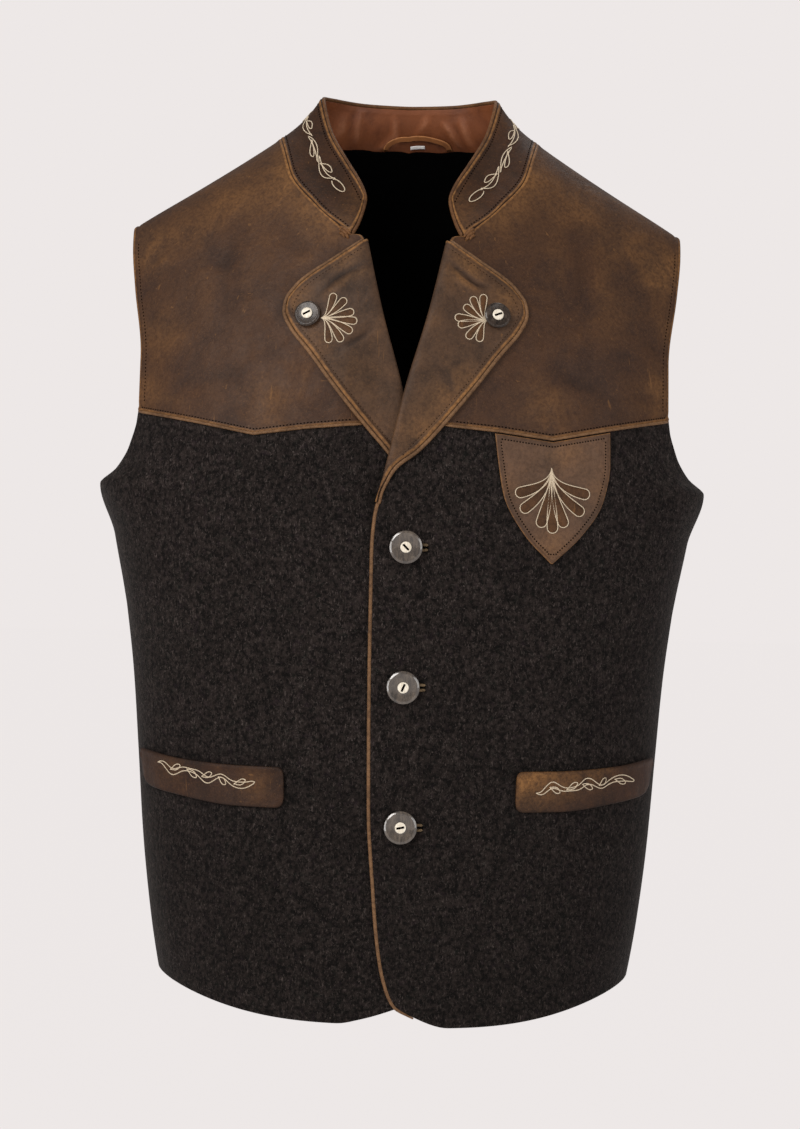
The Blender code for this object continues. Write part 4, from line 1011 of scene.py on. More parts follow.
def leather_lapel(side, leather):
    """The lapel, rolled round the front edge and laid over the yoke."""
    edges = lapel_edges(side)
    along = drawn_in(even(90), 0.17, LAPEL_THICKNESS)
    width = np.linalg.norm(edges[1](along) - edges[0](along), axis=-1)
    height = LAPEL_EDGE_HEIGHT + LAPEL_PUFF * (1 - along)
    step = np.linspace(0, 3, 10)
    rolls = [RollStep(i, *row) for i, row in enumerate(LAPEL_ROLL)]
    upper_in, upper_height, under_in, under_height = (smooth(rolls, key, step) for key in Roll._fields)
    spread = drawn_in(even(40), 0.06, LAPEL_THICKNESS)[6:]
    upper_across, under_across, upper_lift, under_lift = [], [], [], []
    for wide, tall in zip(width, height):
        fall = tall + (LAPEL_EDGE_HEIGHT - tall) * ease(spread)
        for across, ins in ((upper_across, upper_in), (under_across, under_in)):
            ins = ins / max(wide, TAPER_WIDTH)
            across.append(np.concatenate([ins, ins[-1] + (1 - ins[-1]) * spread]))
        upper_lift.append(np.concatenate([upper_height * tall, fall]))
        under_lift.append(np.concatenate([under_height * tall, fall - LAPEL_THICKNESS]))
    upper = lapel_places(upper_across, along, edges)
    under = lapel_places(under_across, along, edges)
    upper_lift, under_lift = np.array(upper_lift), np.array(under_lift)
    flat, _ = body(side * upper[..., 0], upper[..., 1], FRONT)
    _, from_edge, from_top, from_foot = spans(flat)
    near = np.minimum.reduce([from_edge, from_top, from_foot])
    drop = LAPEL_THICKNESS / 2 * (1 - np.sqrt(1 - (1 - np.clip(near / (LAPEL_THICKNESS / 2), 0, 1)) ** 2))
    raised = ridged(np.minimum(from_edge, from_top), (0.0007, 0.0026, 0.0011), (-0.0005, 0.0048, 0.0009))
    push = creased(seen(flat), LAPEL_CREASES[side])
    near_roll = ease((upper[..., 0] - front_edge(upper[..., 1])) / 0.006)
    upper_lift = upper_lift - drop + (raised * ease(near / 0.0012) + push * ease(near / 0.004)) * near_roll
    under_lift = under_lift + drop
    name = "lapel_" + WORD[side]
    # Besides the rubbed places, the creases give painted shade in their troughs and painted highlight on their ridges
    # and lips.
    made = shell("leather_" + name,
                 on_front(side, *apart(upper), upper_lift),
                 on_front(side, *apart(under), under_lift), leather,
                 worn="rf", wear=rubbed(seen(flat), LAPEL_RUBS[side]) + pull_up_and_painted_light(push))
    return ride(made, "brown leather", name)


# Pulled folds in the collar's facing, at places across and metres up from the neck seam.
FACING_CREASES = table(Crease, (
    (0.0016, 0.0034, ((-0.042, 0.004), (-0.041, 0.02), (-0.038, 0.04))),
    (0.0016, 0.003, ((-0.0115, 0.002), (-0.011, 0.018), (-0.012, 0.036))),
    (0.0026, 0.003, ((0.027, 0.03), (0.034, 0.018), (0.0405, 0.003))),
    (0.0016, 0.0034, ((0.04, 0.034), (0.044, 0.02), (0.05, 0.004))),
    (0.0013, 0.0036, ((-0.026, 0.001), (-0.018, 0.008), (-0.014, 0.018))),
    (0.0012, 0.005, ((-0.06, 0.008), (-0.053, 0.02), (-0.05, 0.034))),
    (0.001, 0.0036, ((0.006, 0.02), (0.012, 0.03), (0.014, 0.038)))))
COLLAR_HEIGHT = 0.043
COLLAR_TUCK = 0.034  # the share of its height that reaches down behind the edges that it is sewn to
FACING_RIM = 0.006  # how near its edges the facing is free of folds


def leather_collar(leather, facing):
    stations = drawn_in(even(230), 0.42, LEATHER) * 2 - 1
    rises = COLLAR_FOOT + (1 - COLLAR_FOOT) * drawn_in(even(26), 0.042, LEATHER)
    rises = rises - COLLAR_TUCK * (1 - rises)
    base, inward = collar_grid(stations, rises, 0.0), collar_grid(stations, rises, -0.001)
    normals = unit(base - inward)
    near_first, near_last, from_seam, from_top = spans(base)
    raised = ridged(from_top, (0.0007, 0.0024, 0.001), (-0.0005, 0.0044, 0.0008))
    at_ends = ridged(np.minimum(near_first, near_last), (0.0006, 0.0024, 0.001))
    raised += at_ends + ridged(from_seam, (0.0006, 0.0016, 0.001))
    wear = 0.5 * ease((np.abs(stations) - 0.86) / 0.14) + 0 * from_seam
    stand = shell("leather_collar", *layers(base, normals, LEATHER, 0.0, raised), leather, wear=wear)
    ride(stand, "brown leather", "collar_stand")
    height = rises[:, None] * COLLAR_HEIGHT + 0 * stations
    push = creased(stacked(base[..., 0], height), FACING_CREASES) * (base[..., 1] > 0)
    push = push * kept_flat(base, FACING_RIM)
    lift = np.minimum(-LEATHER - SEAM_GAP, -LEATHER - SEAM_GAP + push)
    welt = 0.0004 * hill(from_top, 0.0035, 0.0009)
    outer, inner = layers(base, normals, LINING, lift)
    inner = inner - normals * welt[..., None]
    # Painted highlight on the facing's folds, and painted shade beside them over the rest of it.
    lining = shell("leather_collar_facing", outer, inner, facing, worn="", wear=1.2 * pull_up_and_painted_light(-0.8 * push) - 0.25)
    ride(lining, "facing leather", "collar_facing")
    return stand


CORD_SET_IN = 0.0006  # how far the sewn cords sit in the cloth's rounded edge
LAPEL_PIPING_START = 0.06  # the share of the lapel's top edge that lies under the collar
LAPEL_PIPED = {LEFT: 1, RIGHT: 0.93}  # the share of its outer edge that is piped
PIPING_JOINS = (-0.3331, -0.3679)  # heights where the front piping is thicker
PIPING_JOIN, JOIN_LENGTH = 0.00022, 0.0009


def collar_cord(leather):
    """The rolled cord round the collar's top edge and down both of its front ends."""
    stations, rises = np.linspace(-1, 1, 150), np.linspace(COLLAR_FOOT, 1, 20)
    lifts = (0, -LEATHER, -LEATHER - SEAM_GAP, -LEATHER - SEAM_GAP - LINING)
    grids = [collar_grid(stations, rises, lift) for lift in lifts]
    rims = np.array([np.concatenate([grid[1:-1, 0], grid[-1], grid[-2:0:-1, -1]]) for grid in grids])
    mid = grids[1]
    within = np.concatenate([mid[1:-1, 1], mid[-2], mid[-2:0:-1, -2]])
    edge = rims.mean(axis=0)
    run = unit(np.gradient(edge, axis=0))
    away = edge - within
    away = unit(away - run * (away * run).sum(axis=-1, keepdims=True))
    reach = ((rims - edge) * away).sum(axis=-1).max(axis=0)
    path = smoothed(edge + away * (reach + COLLAR_PIPING_RADIUS - CORD_SET_IN)[:, None], 3)
    made = tube("leather_collar_cord", path, COLLAR_CORD_SWELL * COLLAR_PIPING_RADIUS, leather, edge=0.0012)
    return ride(made, "brown leather", "collar_piping")


def leather_cords(leather):
    """The piped edges: lapels, front edge and yoke seams."""
    share = np.linspace(0, PIPED_HEM, 14)
    hem = hem_height(LEFT, share)
    z = np.linspace(LAPEL_TIP[-1].height + 0.002, hem[0], 170)[:-1]
    down = stacked(across_front(0.0, z), z)
    edge = np.concatenate([down, stacked(across_front(share, hem), hem)])
    edge = smoothed(beside(edge, CORD_SET_IN - PIPING_RADIUS), 4)
    joins = ridged(edge[:, 1], *((PIPING_JOIN, at, JOIN_LENGTH) for at in PIPING_JOINS))
    ends = 1 - 0.5 * ease((np.arange(len(edge)) - len(edge) + 16) / 16)
    path = on_front(LEFT, *apart(edge), -WOOL / 2)
    made = tube("leather_front_piping", path, PIPING_RADIUS * ends + joins, leather, edge=0.0022)
    ride(made, "brown leather", "front_piping")
    for side, word in WORD.items():
        _, outer, top, _ = lapel_edges(side)
        down = np.linspace(0, LAPEL_PIPED[side], 120)[1:]
        around = np.concatenate([top(np.linspace(LAPEL_PIPING_START, 1, 40)), outer(down)])
        around = smoothed(beside(around, PIPING_RADIUS - CORD_SET_IN / 2), 4)
        lowered = ease((LAPEL_FOOT + 0.012 - around[:, 1]) / 0.03)
        path = on_front(side, *apart(around), LAPEL_PIPING_HEIGHT * (1 - 0.9 * lowered))
        made = tube("leather_lapel_piping_" + word, path, PIPING_RADIUS, leather, edge=0.0014)
        ride(made, "brown leather", "lapel_piping_" + word)
        m = stretch(YOKE_PIPING_START - 0.0075, 44, YOKE_POINT_X, 60, YOKE_SEAM[-1].x - 0.0016)
        near_end = np.maximum(ease(1 - (m[-1] - m) / 0.004), ease(1 - (m - m[0]) / 0.005))
        path = on_front(side, m, yoke_seam(m), YOKE_PIPING_RADIUS * (1 - 0.6 * near_end))
        radius = YOKE_PIPING_RADIUS * (1 - 0.3 * near_end)
        made = tube("leather_yoke_piping_" + word, path, radius, leather, edge=0.0014)
        ride(made, "brown leather", "yoke_piping_" + word)


PATCH_RUBS = table(Rub, (
    (0.108, -0.302, 0.012, 0.5), (0.074, -0.262, 0.01, 0.35), (0.142, -0.262, 0.012, 0.45),
    (0.112, -0.238, 0.014, 0.35)))


def leather_patch(leather):
    """The shield on the left breast, its top edge along the yoke seam."""
    along = drawn_in(even(44), 0.09, PATCH_THICKNESS)
    across = drawn_in(stretch(0, 22, 0.5, 22, 1), 0.08, PATCH_THICKNESS)
    left, right = outline(PATCH_LEFT_EDGE), outline(PATCH_RIGHT_EDGE)
    start, end = left(np.zeros(1))[0, 0], right(np.zeros(1))[0, 0]

    def top(at):
        x = start + (end - start) * at
        return stacked(x, yoke_seam(x) - PATCH_BELOW_SEAM)

    def tip(at):
        spread = (at - 0.5) * PATCH_TIP_WIDTH
        return np.repeat(left(np.ones(1)), len(at), axis=0) + stacked(spread, 0 * spread)

    def side_edge(read, corner):
        nudge = np.array([(corner - 0.5) * PATCH_TIP_WIDTH, 0.0])
        return lambda at: (read(at) + (top(np.array([corner])) - read(np.zeros(1))) * (1 - at)[:, None]
                           + nudge * at[:, None])

    places = coons(side_edge(left, 0.0), side_edge(right, 1.0), top, tip, across, along)
    points, normals = body(places[..., 0], places[..., 1], FRONT)
    raised = ridged(np.minimum.reduce(spans(points)), (0.0005, 0.0018, 0.0009), (-0.0004, 0.0036, 0.0008))
    lift = CORD_GAP + PATCH_THICKNESS
    made = shell("leather_patch", *layers(points, normals, PATCH_THICKNESS, lift, raised), leather,
                 wear=rubbed(seen(points), PATCH_RUBS))
    return ride(made, "brown leather", "chest_patch")


WELT_CREASES = by_side(Crease, (
    (0.001, 0.003, ((0.134, -0.464), (0.1348, -0.47), (0.1338, -0.478))),
    (0.0008, 0.003, ((0.1494, -0.464), (0.15, -0.47), (0.149, -0.476)))), (
    (0.0005, 0.004, ((-0.15, -0.464), (-0.148, -0.472), (-0.15, -0.48))),))
WELT_RUBS = by_side(Rub, (
    (0.092, -0.473, 0.017, 2.3), (0.116, -0.464, 0.017, 1.6), (0.142, -0.461, 0.013, 1.2)), (
    (-0.16, -0.468, 0.01, 0.35), (-0.1, -0.478, 0.012, 0.45)))


def leather_welt(side, leather):
    """A pocket welt, its top edge gaping a little off the cloth."""
    across = drawn_in(even(60), 0.1, WELT_THICKNESS)
    down = drawn_in(even(20), 0.026, WELT_THICKNESS)
    top, bottom = outline(WELT_TOP_EDGE)(across), outline(WELT_BOTTOM_EDGE)(across)
    places = top[None] + (bottom - top)[None] * down[:, None, None]
    places[..., 0] += WELT_INNER_END[side] * (1 - across)
    points, normals = body(side * places[..., 0], places[..., 1], FRONT)
    lift = 2 * SEAM_GAP + WELT_GAPE * (1 - down[:, None]) ** 2 + WELT_THICKNESS + 0 * across
    raised = ridged(spans(points)[2], (0.0005, 0.0022, 0.0016)) + 0.0004 * np.sin(math.pi * down)[:, None]
    push = creased(seen(points), WELT_CREASES[side])
    name = "pocket_welt_" + WORD[side]
    # Besides the rubbed places, the creases give painted shade in their troughs and painted highlight on their ridges
    # and lips.
    made = shell("leather_" + name, *layers(points, normals, WELT_THICKNESS, lift + push, raised), leather,
                 wear=rubbed(seen(points), WELT_RUBS[side]) + pull_up_and_painted_light(push))
    return ride(made, "brown leather", name)


def neck_trims(leather, tape):
    """The folded hanger loop and the blank label, on the collar's inner face."""
    inside = -LEATHER - SEAM_GAP - LINING - TRIM_GAP
    arch = np.linspace(0, math.pi, 44)
    stations = LOOP_CENTRE + LOOP_HALF_SPAN * np.cos(arch)
    rises = LOOP_FOOT + LOOP_RISE * np.sin(arch) ** 0.7
    path = np.array([collar_spot(*place, inside) for place in zip(stations, rises)])
    deep = np.array([collar_spot(*place, inside - 0.001) for place in zip(stations, rises)])
    out = unit(path - deep)
    wide = np.cross(unit(np.gradient(path, axis=0)), out) * LOOP_WIDTH / 2
    share = drawn_in(even(9), LOOP_WIDTH, LOOP_THICKNESS) * 2 - 1
    points = path + wide * share[:, None, None]
    made = shell("leather_hanger_loop", *layers(points, np.broadcast_to(out, points.shape), LOOP_THICKNESS, 0.0),
                 leather, worn="f")
    ride(made, "brown leather", "hanger_loop")
    across = LOOP_CENTRE + np.linspace(-1, 1, 18) * LABEL_HALF_SPAN
    rises = np.linspace(LOOP_FOOT + 0.055, LABEL_TOP + 0.045, 8)
    base, deeper = (collar_grid(across, rises, lift) for lift in (inside, inside - 0.001))
    label = shell("label", *layers(base, unit(base - deeper), LABEL_THICKNESS, 0.0), tape)
    ride(label, "label tape", "size_label")


# Finishes

class Nodes:
    """A node tree that is built by short calls. Each gives an output of the node that it adds."""

    def __init__(self, tree):
        self.tree = tree

    def give(self, node, inputs):
        """Sets a node's inputs, or links them to other outputs."""
        for key, value in dict(inputs).items():
            if isinstance(value, bpy.types.NodeSocket):
                self.tree.links.new(value, node.inputs[key])
            else:
                node.inputs[key].default_value = value

    def add(self, kind, inputs=(), output=0, **settings):
        node = self.tree.nodes.new(kind)
        for key, value in settings.items():
            setattr(node, key, value)
        self.give(node, inputs)
        return node.outputs[output] if node.outputs else node

    def between(self, value, low, high, start=0.0, end=1.0):
        """A value read from one range to another, and held inside it."""
        return self.add("ShaderNodeMapRange", {"Value": value, "From Min": low, "From Max": high,
                                               "To Min": start, "To Max": end})

    def maths(self, operation, first, second):
        return self.add("ShaderNodeMath", {0: first, 1: second}, operation=operation)


class Finish(Nodes):
    """A material: a ground colour, what is laid over it, and the relief."""

    def __init__(self, name, ground):
        self.made = bpy.data.materials.new(name)
        self.made.use_nodes = True
        super().__init__(self.made.node_tree)
        self.ground = (*ground, 1.0)

    @cached_property
    def place(self):
        return self.add("ShaderNodeTexCoord", output=3)

    @cached_property
    def cloth(self):
        return self.add("ShaderNodeUVMap", uv_map="cloth")

    def noise(self, scale, detail=3.0, roughness=0.55, warp=0.0, at=None):
        return self.add("ShaderNodeTexNoise", {"Vector": at or self.place, "Scale": scale, "Detail": detail,
                                               "Roughness": roughness, "Distortion": warp})

    def stretched(self, scale, turn):
        return self.add("ShaderNodeMapping", {"Vector": self.place, "Scale": scale,
                                              "Rotation": (0, turn, turn / 2)})

    def wave(self, scale, direction, warp=0.0):
        return self.add("ShaderNodeTexWave", {"Vector": self.cloth, "Scale": scale, "Distortion": warp}, output=1,
                        bands_direction=direction)

    def by_distance(self, distance, stops):
        """A value read from stops of millimetres and values."""
        ramp = self.tree.nodes.new("ShaderNodeValToRGB")
        self.give(ramp, {0: self.between(distance, 0.0, 0.01)})
        elements = ramp.color_ramp.elements
        elements.remove(elements[1])
        for reach, value in stops:
            element = elements.new(reach / 10) if reach else elements[0]
            element.color = (value, value, value, 1.0)
        return ramp.outputs[0]

    def lay(self, by, span, tint, blend="MIX"):
        """Lays a colour over the ground by a value, read over a span of between when there is one."""
        share = self.between(by, *span) if span else by
        self.ground = self.add("ShaderNodeMix", {0: share, 6: self.ground, 7: (*tint, 1.0)}, output=2,
                               data_type="RGBA", blend_type=blend)

    def darken(self, by, span, tint):
        self.lay(by, span, tint, "MULTIPLY")

    def done(self, *relief, **inputs):
        """Joins it to the shader. Bumps are laid over each other: (height, strength, depth in metres)."""
        inputs["Base_Color"] = self.ground
        for height, strength, depth in relief:
            bump = {"Height": height, "Strength": strength, "Distance": depth}
            if "Normal" in inputs:
                bump["Normal"] = inputs["Normal"]
            inputs["Normal"] = self.add("ShaderNodeBump", bump)
        self.give(self.tree.nodes["Principled BSDF"],
                  {name.replace("_", " "): value for name, value in inputs.items()})
        return self.made


def felt_finish():
    """Milled charcoal wool with pale and dark heather hairs and a soft nap, darker low down as painted shade."""
    felt = Finish("heather wool felt", (0.0038, 0.0027, 0.0024))
    hairs = felt.noise(900, 3.0, 0.6, 0.8, felt.stretched((1, 0.8, 0.45), 0.5))
    crossing = felt.noise(780, 3.0, 0.6, 0.8, felt.stretched((0.5, 0.8, 1), -0.7))
    clumps, mottle = felt.noise(300, 3.0, 0.6), felt.noise(120, 3.0, 0.6)
    cloud, tints = felt.noise(17), felt.noise(210, 2.0)
    felt.lay(clumps, (0.4, 0.62), (0.0212, 0.0156, 0.0139))
    felt.lay(hairs, (0.57, 0.7, 0.0, 0.9), (0.068, 0.054, 0.049))
    felt.lay(crossing, (0.59, 0.72, 0.0, 0.7), (0.05, 0.042, 0.038))
    felt.lay(hairs, (0.44, 0.3, 0.0, 0.9), (0.0016, 0.0012, 0.001))
    felt.lay(tints, (0.6, 0.7, 0.0, 0.22), (0.01, 0.013, 0.01))
    felt.lay(tints, (0.4, 0.3, 0.0, 0.28), (0.016, 0.009, 0.013))
    felt.darken(mottle, (0.4, 0.6, 0.6, 0.0), (0.45, 0.43, 0.42))
    felt.darken(cloud, (0.35, 0.65, 0.0, 0.45), (0.68, 0.67, 0.66))
    # Painted shade: the felt's colour is darkened towards the bottom, from a height of -0.32 m down to -0.56 m.
    height = felt.add("ShaderNodeSeparateXYZ", {0: felt.place}, output=2)
    felt.darken(height, (-0.32, -0.56, 0.0, 0.42), (0.55, 0.54, 0.52))
    return felt.done((cloud, 0.5, 0.004), (clumps, 0.8, 0.0007), (hairs, 0.7, 0.0004), (crossing, 0.6, 0.00035),
                     Roughness=0.95, Specular_IOR_Level=0.12, Sheen_Weight=0.06, Sheen_Roughness=0.4,
                     Sheen_Tint=(0.75, 0.7, 0.66, 1.0))


# How worn or shaded a leather is by its distance from its edge, in millimetres: above a half is worn, below a half is
# painted shade beside its edge.
PIPED_RIM = ((0, 0.12), (0.8, 0.08), (1.3, 0.66), (1.9, 1.0), (2.9, 0.96), (3.7, 0.56), (4.5, 0.34),
             (5.6, 0.48), (8, 0.5))
YOKE_RIM = ((0, 0.12), (0.7, 0.08), (1.1, 0.72), (1.8, 1.0), (2.8, 0.7), (3.5, 0.4), (4.6, 0.5), (8, 0.5))
PATCH_RIM = ((0, 0.9), (0.5, 1.0), (1.0, 0.6), (1.7, 0.4), (3.3, 0.4), (4.4, 0.5), (8, 0.5))
# The welts' rim is all painted shade along their edges.
WELT_RIM = ((0, 0.2), (0.9, 0.3), (2.4, 0.45), (4.4, 0.5), (8, 0.5))
CORD_RIM = ((0, 0.72), (10, 0.72))
# The hanger loop's rim is a painted highlight along its first long edge.
LOOP_RIM = ((0, 0.98), (0.7, 0.9), (1.3, 0.5), (8, 0.5))
NO_RIM = ((0, 0.5), (10, 0.5))
# Each leather: its dark and its brown ground, what it wears down to, its rim and how it differs.
TAN = (0.23, 0.108, 0.034)
LEATHERS = {
    "waxed brown": ((0.0345, 0.0168, 0.01), (0.056, 0.025, 0.0112), TAN, YOKE_RIM, {}),
    "collar": ((0.02, 0.0082, 0.0032), (0.0415, 0.0158, 0.0054), TAN, PIPED_RIM, {"haze": 0.5}),
    "collar cord": ((0.036, 0.016, 0.007), (0.085, 0.037, 0.014), (0.23, 0.105, 0.038), CORD_RIM,
                    {"rub": 0.8}),
    "lapel": ((0.035, 0.0195, 0.0118), (0.07, 0.037, 0.02), TAN, PIPED_RIM, {}),
    "patch": ((0.056, 0.0325, 0.0205), (0.102, 0.056, 0.033), TAN, PATCH_RIM, {}),
    "left welt": ((0.019, 0.0095, 0.0062), (0.037, 0.0158, 0.0084), TAN, WELT_RIM, {"rub": 0.8}),
    "right welt": ((0.0165, 0.0078, 0.0047), (0.033, 0.0138, 0.0066), TAN, WELT_RIM, {"rub": 0.8}),
    "cord": ((0.046, 0.024, 0.0125), (0.12, 0.062, 0.03), (0.26, 0.14, 0.062), CORD_RIM, {}),
    "buttonhole": ((0.056, 0.037, 0.019), (0.135, 0.092, 0.05), (0.26, 0.185, 0.105), CORD_RIM, {"rub": 0.6}),
    "petal": ((0.036, 0.0158, 0.0062), (0.07, 0.03, 0.0112), TAN, NO_RIM, {"rub": 0.6}),
    # The facing's pale tan is laid mostly as painted highlight on its folds.
    "red-brown facing": ((0.128, 0.038, 0.014), (0.225, 0.072, 0.0265), (0.38, 0.165, 0.085), NO_RIM,
                         {"rub": 1.1, "polish": 0.1, "haze": 0.6, "speckle": 0.35}),
    "hanger loop": ((0.15, 0.052, 0.017), (0.27, 0.105, 0.034), (0.48, 0.215, 0.08), LOOP_RIM,
                    {"polish": 0.08, "haze": 0.6, "speckle": 0.35}),
}


def leather_finish(name, dark, brown, tan, rim, rub=1.0, polish=0.0, haze=1.0, speckle=1.0):
    """Waxed pull-up leather: mottled, pale where it is rubbed and along its edges, with a fine grain, painted
    highlight on folds, and painted shade in creases and beside its edges.
    """
    hide = Finish(name + " leather", dark)
    broad, patches = hide.noise(24, 6.0, 0.62, 0.5), hide.noise(75, 4.0, 0.62, 0.4)
    fine, specks = hide.noise(420, 3.0, 0.65), hide.noise(900, 2.0, 0.6)
    edge, wear = (hide.add("ShaderNodeAttribute", output=2, attribute_name=mark) for mark in ("edge", "wear"))
    profile = hide.by_distance(edge, rim)
    # The tan laid from the rim tables and from the mark of rubs and creases is wear, together with painted highlight
    # on folds and along the hanger loop's edge.
    by_edge = hide.maths("MULTIPLY", hide.between(profile, 0.5, 1.0), hide.between(patches, 0.34, 0.56, 0.5, 1.0))
    by_rub = hide.maths("MULTIPLY", wear, hide.between(broad, 0.36, 0.6, 0.3, 1.0))
    worn = hide.maths("ADD", hide.maths("MULTIPLY", by_edge, 0.95), hide.maths("MULTIPLY", by_rub, 0.62))
    worn = hide.maths("ADD", worn, hide.between(broad, 0.6, 0.78, 0.0, 0.22))
    worn = hide.maths("MULTIPLY", worn, rub)
    grained = hide.between(fine, 0.32, 0.6, 1.0 - 0.38 * speckle, 1.0 + 0.12 * speckle)
    worn = hide.between(hide.maths("MULTIPLY", worn, grained), 0.0, 1.1, 0.0, 0.95)
    scratches = hide.noise(1.0, 2.0, at=hide.stretched((260, 400, 22), 0.6))
    others = hide.noise(1.0, 2.0, at=hide.stretched((30, 400, 300), -0.5))
    scratched = hide.maths("MAXIMUM", hide.between(scratches, 0.7, 0.76), hide.between(others, 0.71, 0.77))
    hide.lay(broad, (0.38, 0.62), brown)
    hide.lay(patches, (0.44, 0.64, 0.0, 0.5), brown)
    hide.lay(worn, (), tan)
    hide.darken(fine, (0.56, 0.38, 0.0, 0.55 * speckle), (0.62, 0.58, 0.55))
    hide.lay(specks, (0.56, 0.72, 0.0, 0.14 * speckle), tan)
    hide.lay(hide.maths("MULTIPLY", scratched, 0.3 * speckle), (), tan)
    # Painted shade: where a rim table is below a half, in the grooves and outlines beside an edge and along the welts'
    # edges, the leather is darkened.
    hide.darken(profile, (0.5, 0.1, 0.0, 0.95), (0.2, 0.17, 0.15))
    # Painted shade: where the mark of rubs and creases is below nought, in creases and over the facing, the leather is
    # darkened.
    hide.darken(wear, (-0.1, -0.8, 0.0, 0.92), (0.22, 0.18, 0.16))
    cells = hide.add("ShaderNodeTexVoronoi", {"Vector": hide.place, "Scale": 1150.0, "Randomness": 1.0})
    return hide.done((broad, 0.5 * haze, 0.0035), (patches, 0.5 * haze, 0.0009), (fine, 0.35, 0.0002),
                     (cells, 0.25, 0.00012), (hide.noise(1500, 2.0), 0.3, 0.0001), (scratched, 0.3, -0.0001),
                     Roughness=hide.between(patches, 0.3, 0.7, 0.66 - polish, 0.5 - polish),
                     Specular_IOR_Level=0.17 + polish)


def lining_finish():
    """Black satin lining with a fine twill."""
    satin = Finish("black satin lining", (0.0003, 0.0003, 0.0003))
    twill, soft = satin.wave(900.0, "DIAGONAL", 0.4), satin.noise(30, 2.0)
    satin.lay(twill, (), (0.0007, 0.0007, 0.0007))
    return satin.done((soft, 0.3, 0.004), (twill, 0.3, 0.00012), Specular_IOR_Level=0.02,
                      Roughness=satin.between(soft, 0.3, 0.7, 0.62, 0.5))


def horn_finish(name, dark, brown, cloudy, coat=0.6, shine=0.4):
    """Polished buffalo horn, with streaks and cloudy pale flecks."""
    horn = Finish(name, dark)
    streaks = horn.noise(1.0, 4.0, 0.65, 1.0, horn.stretched((420, 500, 90), 0.8))
    clouds, flecks = horn.noise(230, 3.0, 0.6, 0.5), horn.noise(1300, 2.0, 0.6)
    horn.lay(streaks, (0.36, 0.62), brown)
    horn.lay(clouds, (0.54, 0.72, 0.0, 0.55), cloudy)
    horn.lay(clouds, (0.42, 0.3, 0.0, 0.6), dark)
    horn.lay(flecks, (0.62, 0.74, 0.0, 0.5), cloudy)
    return horn.done((clouds, 0.25, 0.0002), (streaks, 0.2, 0.0001), Specular_IOR_Level=shine, Coat_Weight=coat,
                     Coat_IOR=1.9, Coat_Roughness=0.1, Roughness=horn.between(streaks, 0.3, 0.7, 0.36, 0.26))


def bone_finish():
    bone = Finish("bleached bone", (0.56, 0.49, 0.38))
    grain = bone.noise(1.0, at=bone.stretched((900, 900, 200), 0.4))
    bone.lay(grain, (0.35, 0.7), (0.78, 0.73, 0.62))
    return bone.done((grain, 0.2, 0.00008), Roughness=bone.between(grain, 0.3, 0.7, 0.5, 0.34))


def thread_finish(name, pale, deep, gloss, sheen=0.0):
    thread = Finish(name, deep)
    plies = thread.noise(2600, 2.0)
    thread.lay(plies, (0.3, 0.65), pale)
    thread.lay(thread.noise(110, 2.0), (0.45, 0.75, 0.0, 0.35), deep)
    return thread.done((plies, 0.5, 0.00012), Roughness=gloss, Sheen_Weight=sheen, Specular_IOR_Level=0.5 * sheen)


def tape_finish():
    """White woven tape, unmarked."""
    tape = Finish("white woven tape", (0.84, 0.82, 0.8))
    weave = tape.maths("MULTIPLY", tape.wave(700.0, "X"), tape.wave(500.0, "Y"))
    tape.lay(weave, (), (0.95, 0.94, 0.92))
    return tape.done((weave, 0.4, 0.0001), Roughness=0.75)


# Sewing

# Each stitch, as a length, a width, a height and a slant in radians.
Stitch = namedtuple("Stitch", "Length Width Height Slant")
FAN_STITCH = Stitch(0.0018, 0.00068, 0.0006, 0.35)
VINE_STITCH = Stitch(0.0018, 0.00072, 0.0006, 0.35)
PATCH_STITCH = Stitch(0.00135, 0.0012, 0.0007, 0.0)
SEAM_STITCH = Stitch(0.00155, 0.00105, 0.0007, 0.0)
LAPEL_STITCH = Stitch(0.0014, 0.0009, 0.0006, 0.0)
EMBROIDERED = (0.00105, 0.0003)  # the pitch of embroidery stitches and how far they lie off the cloth


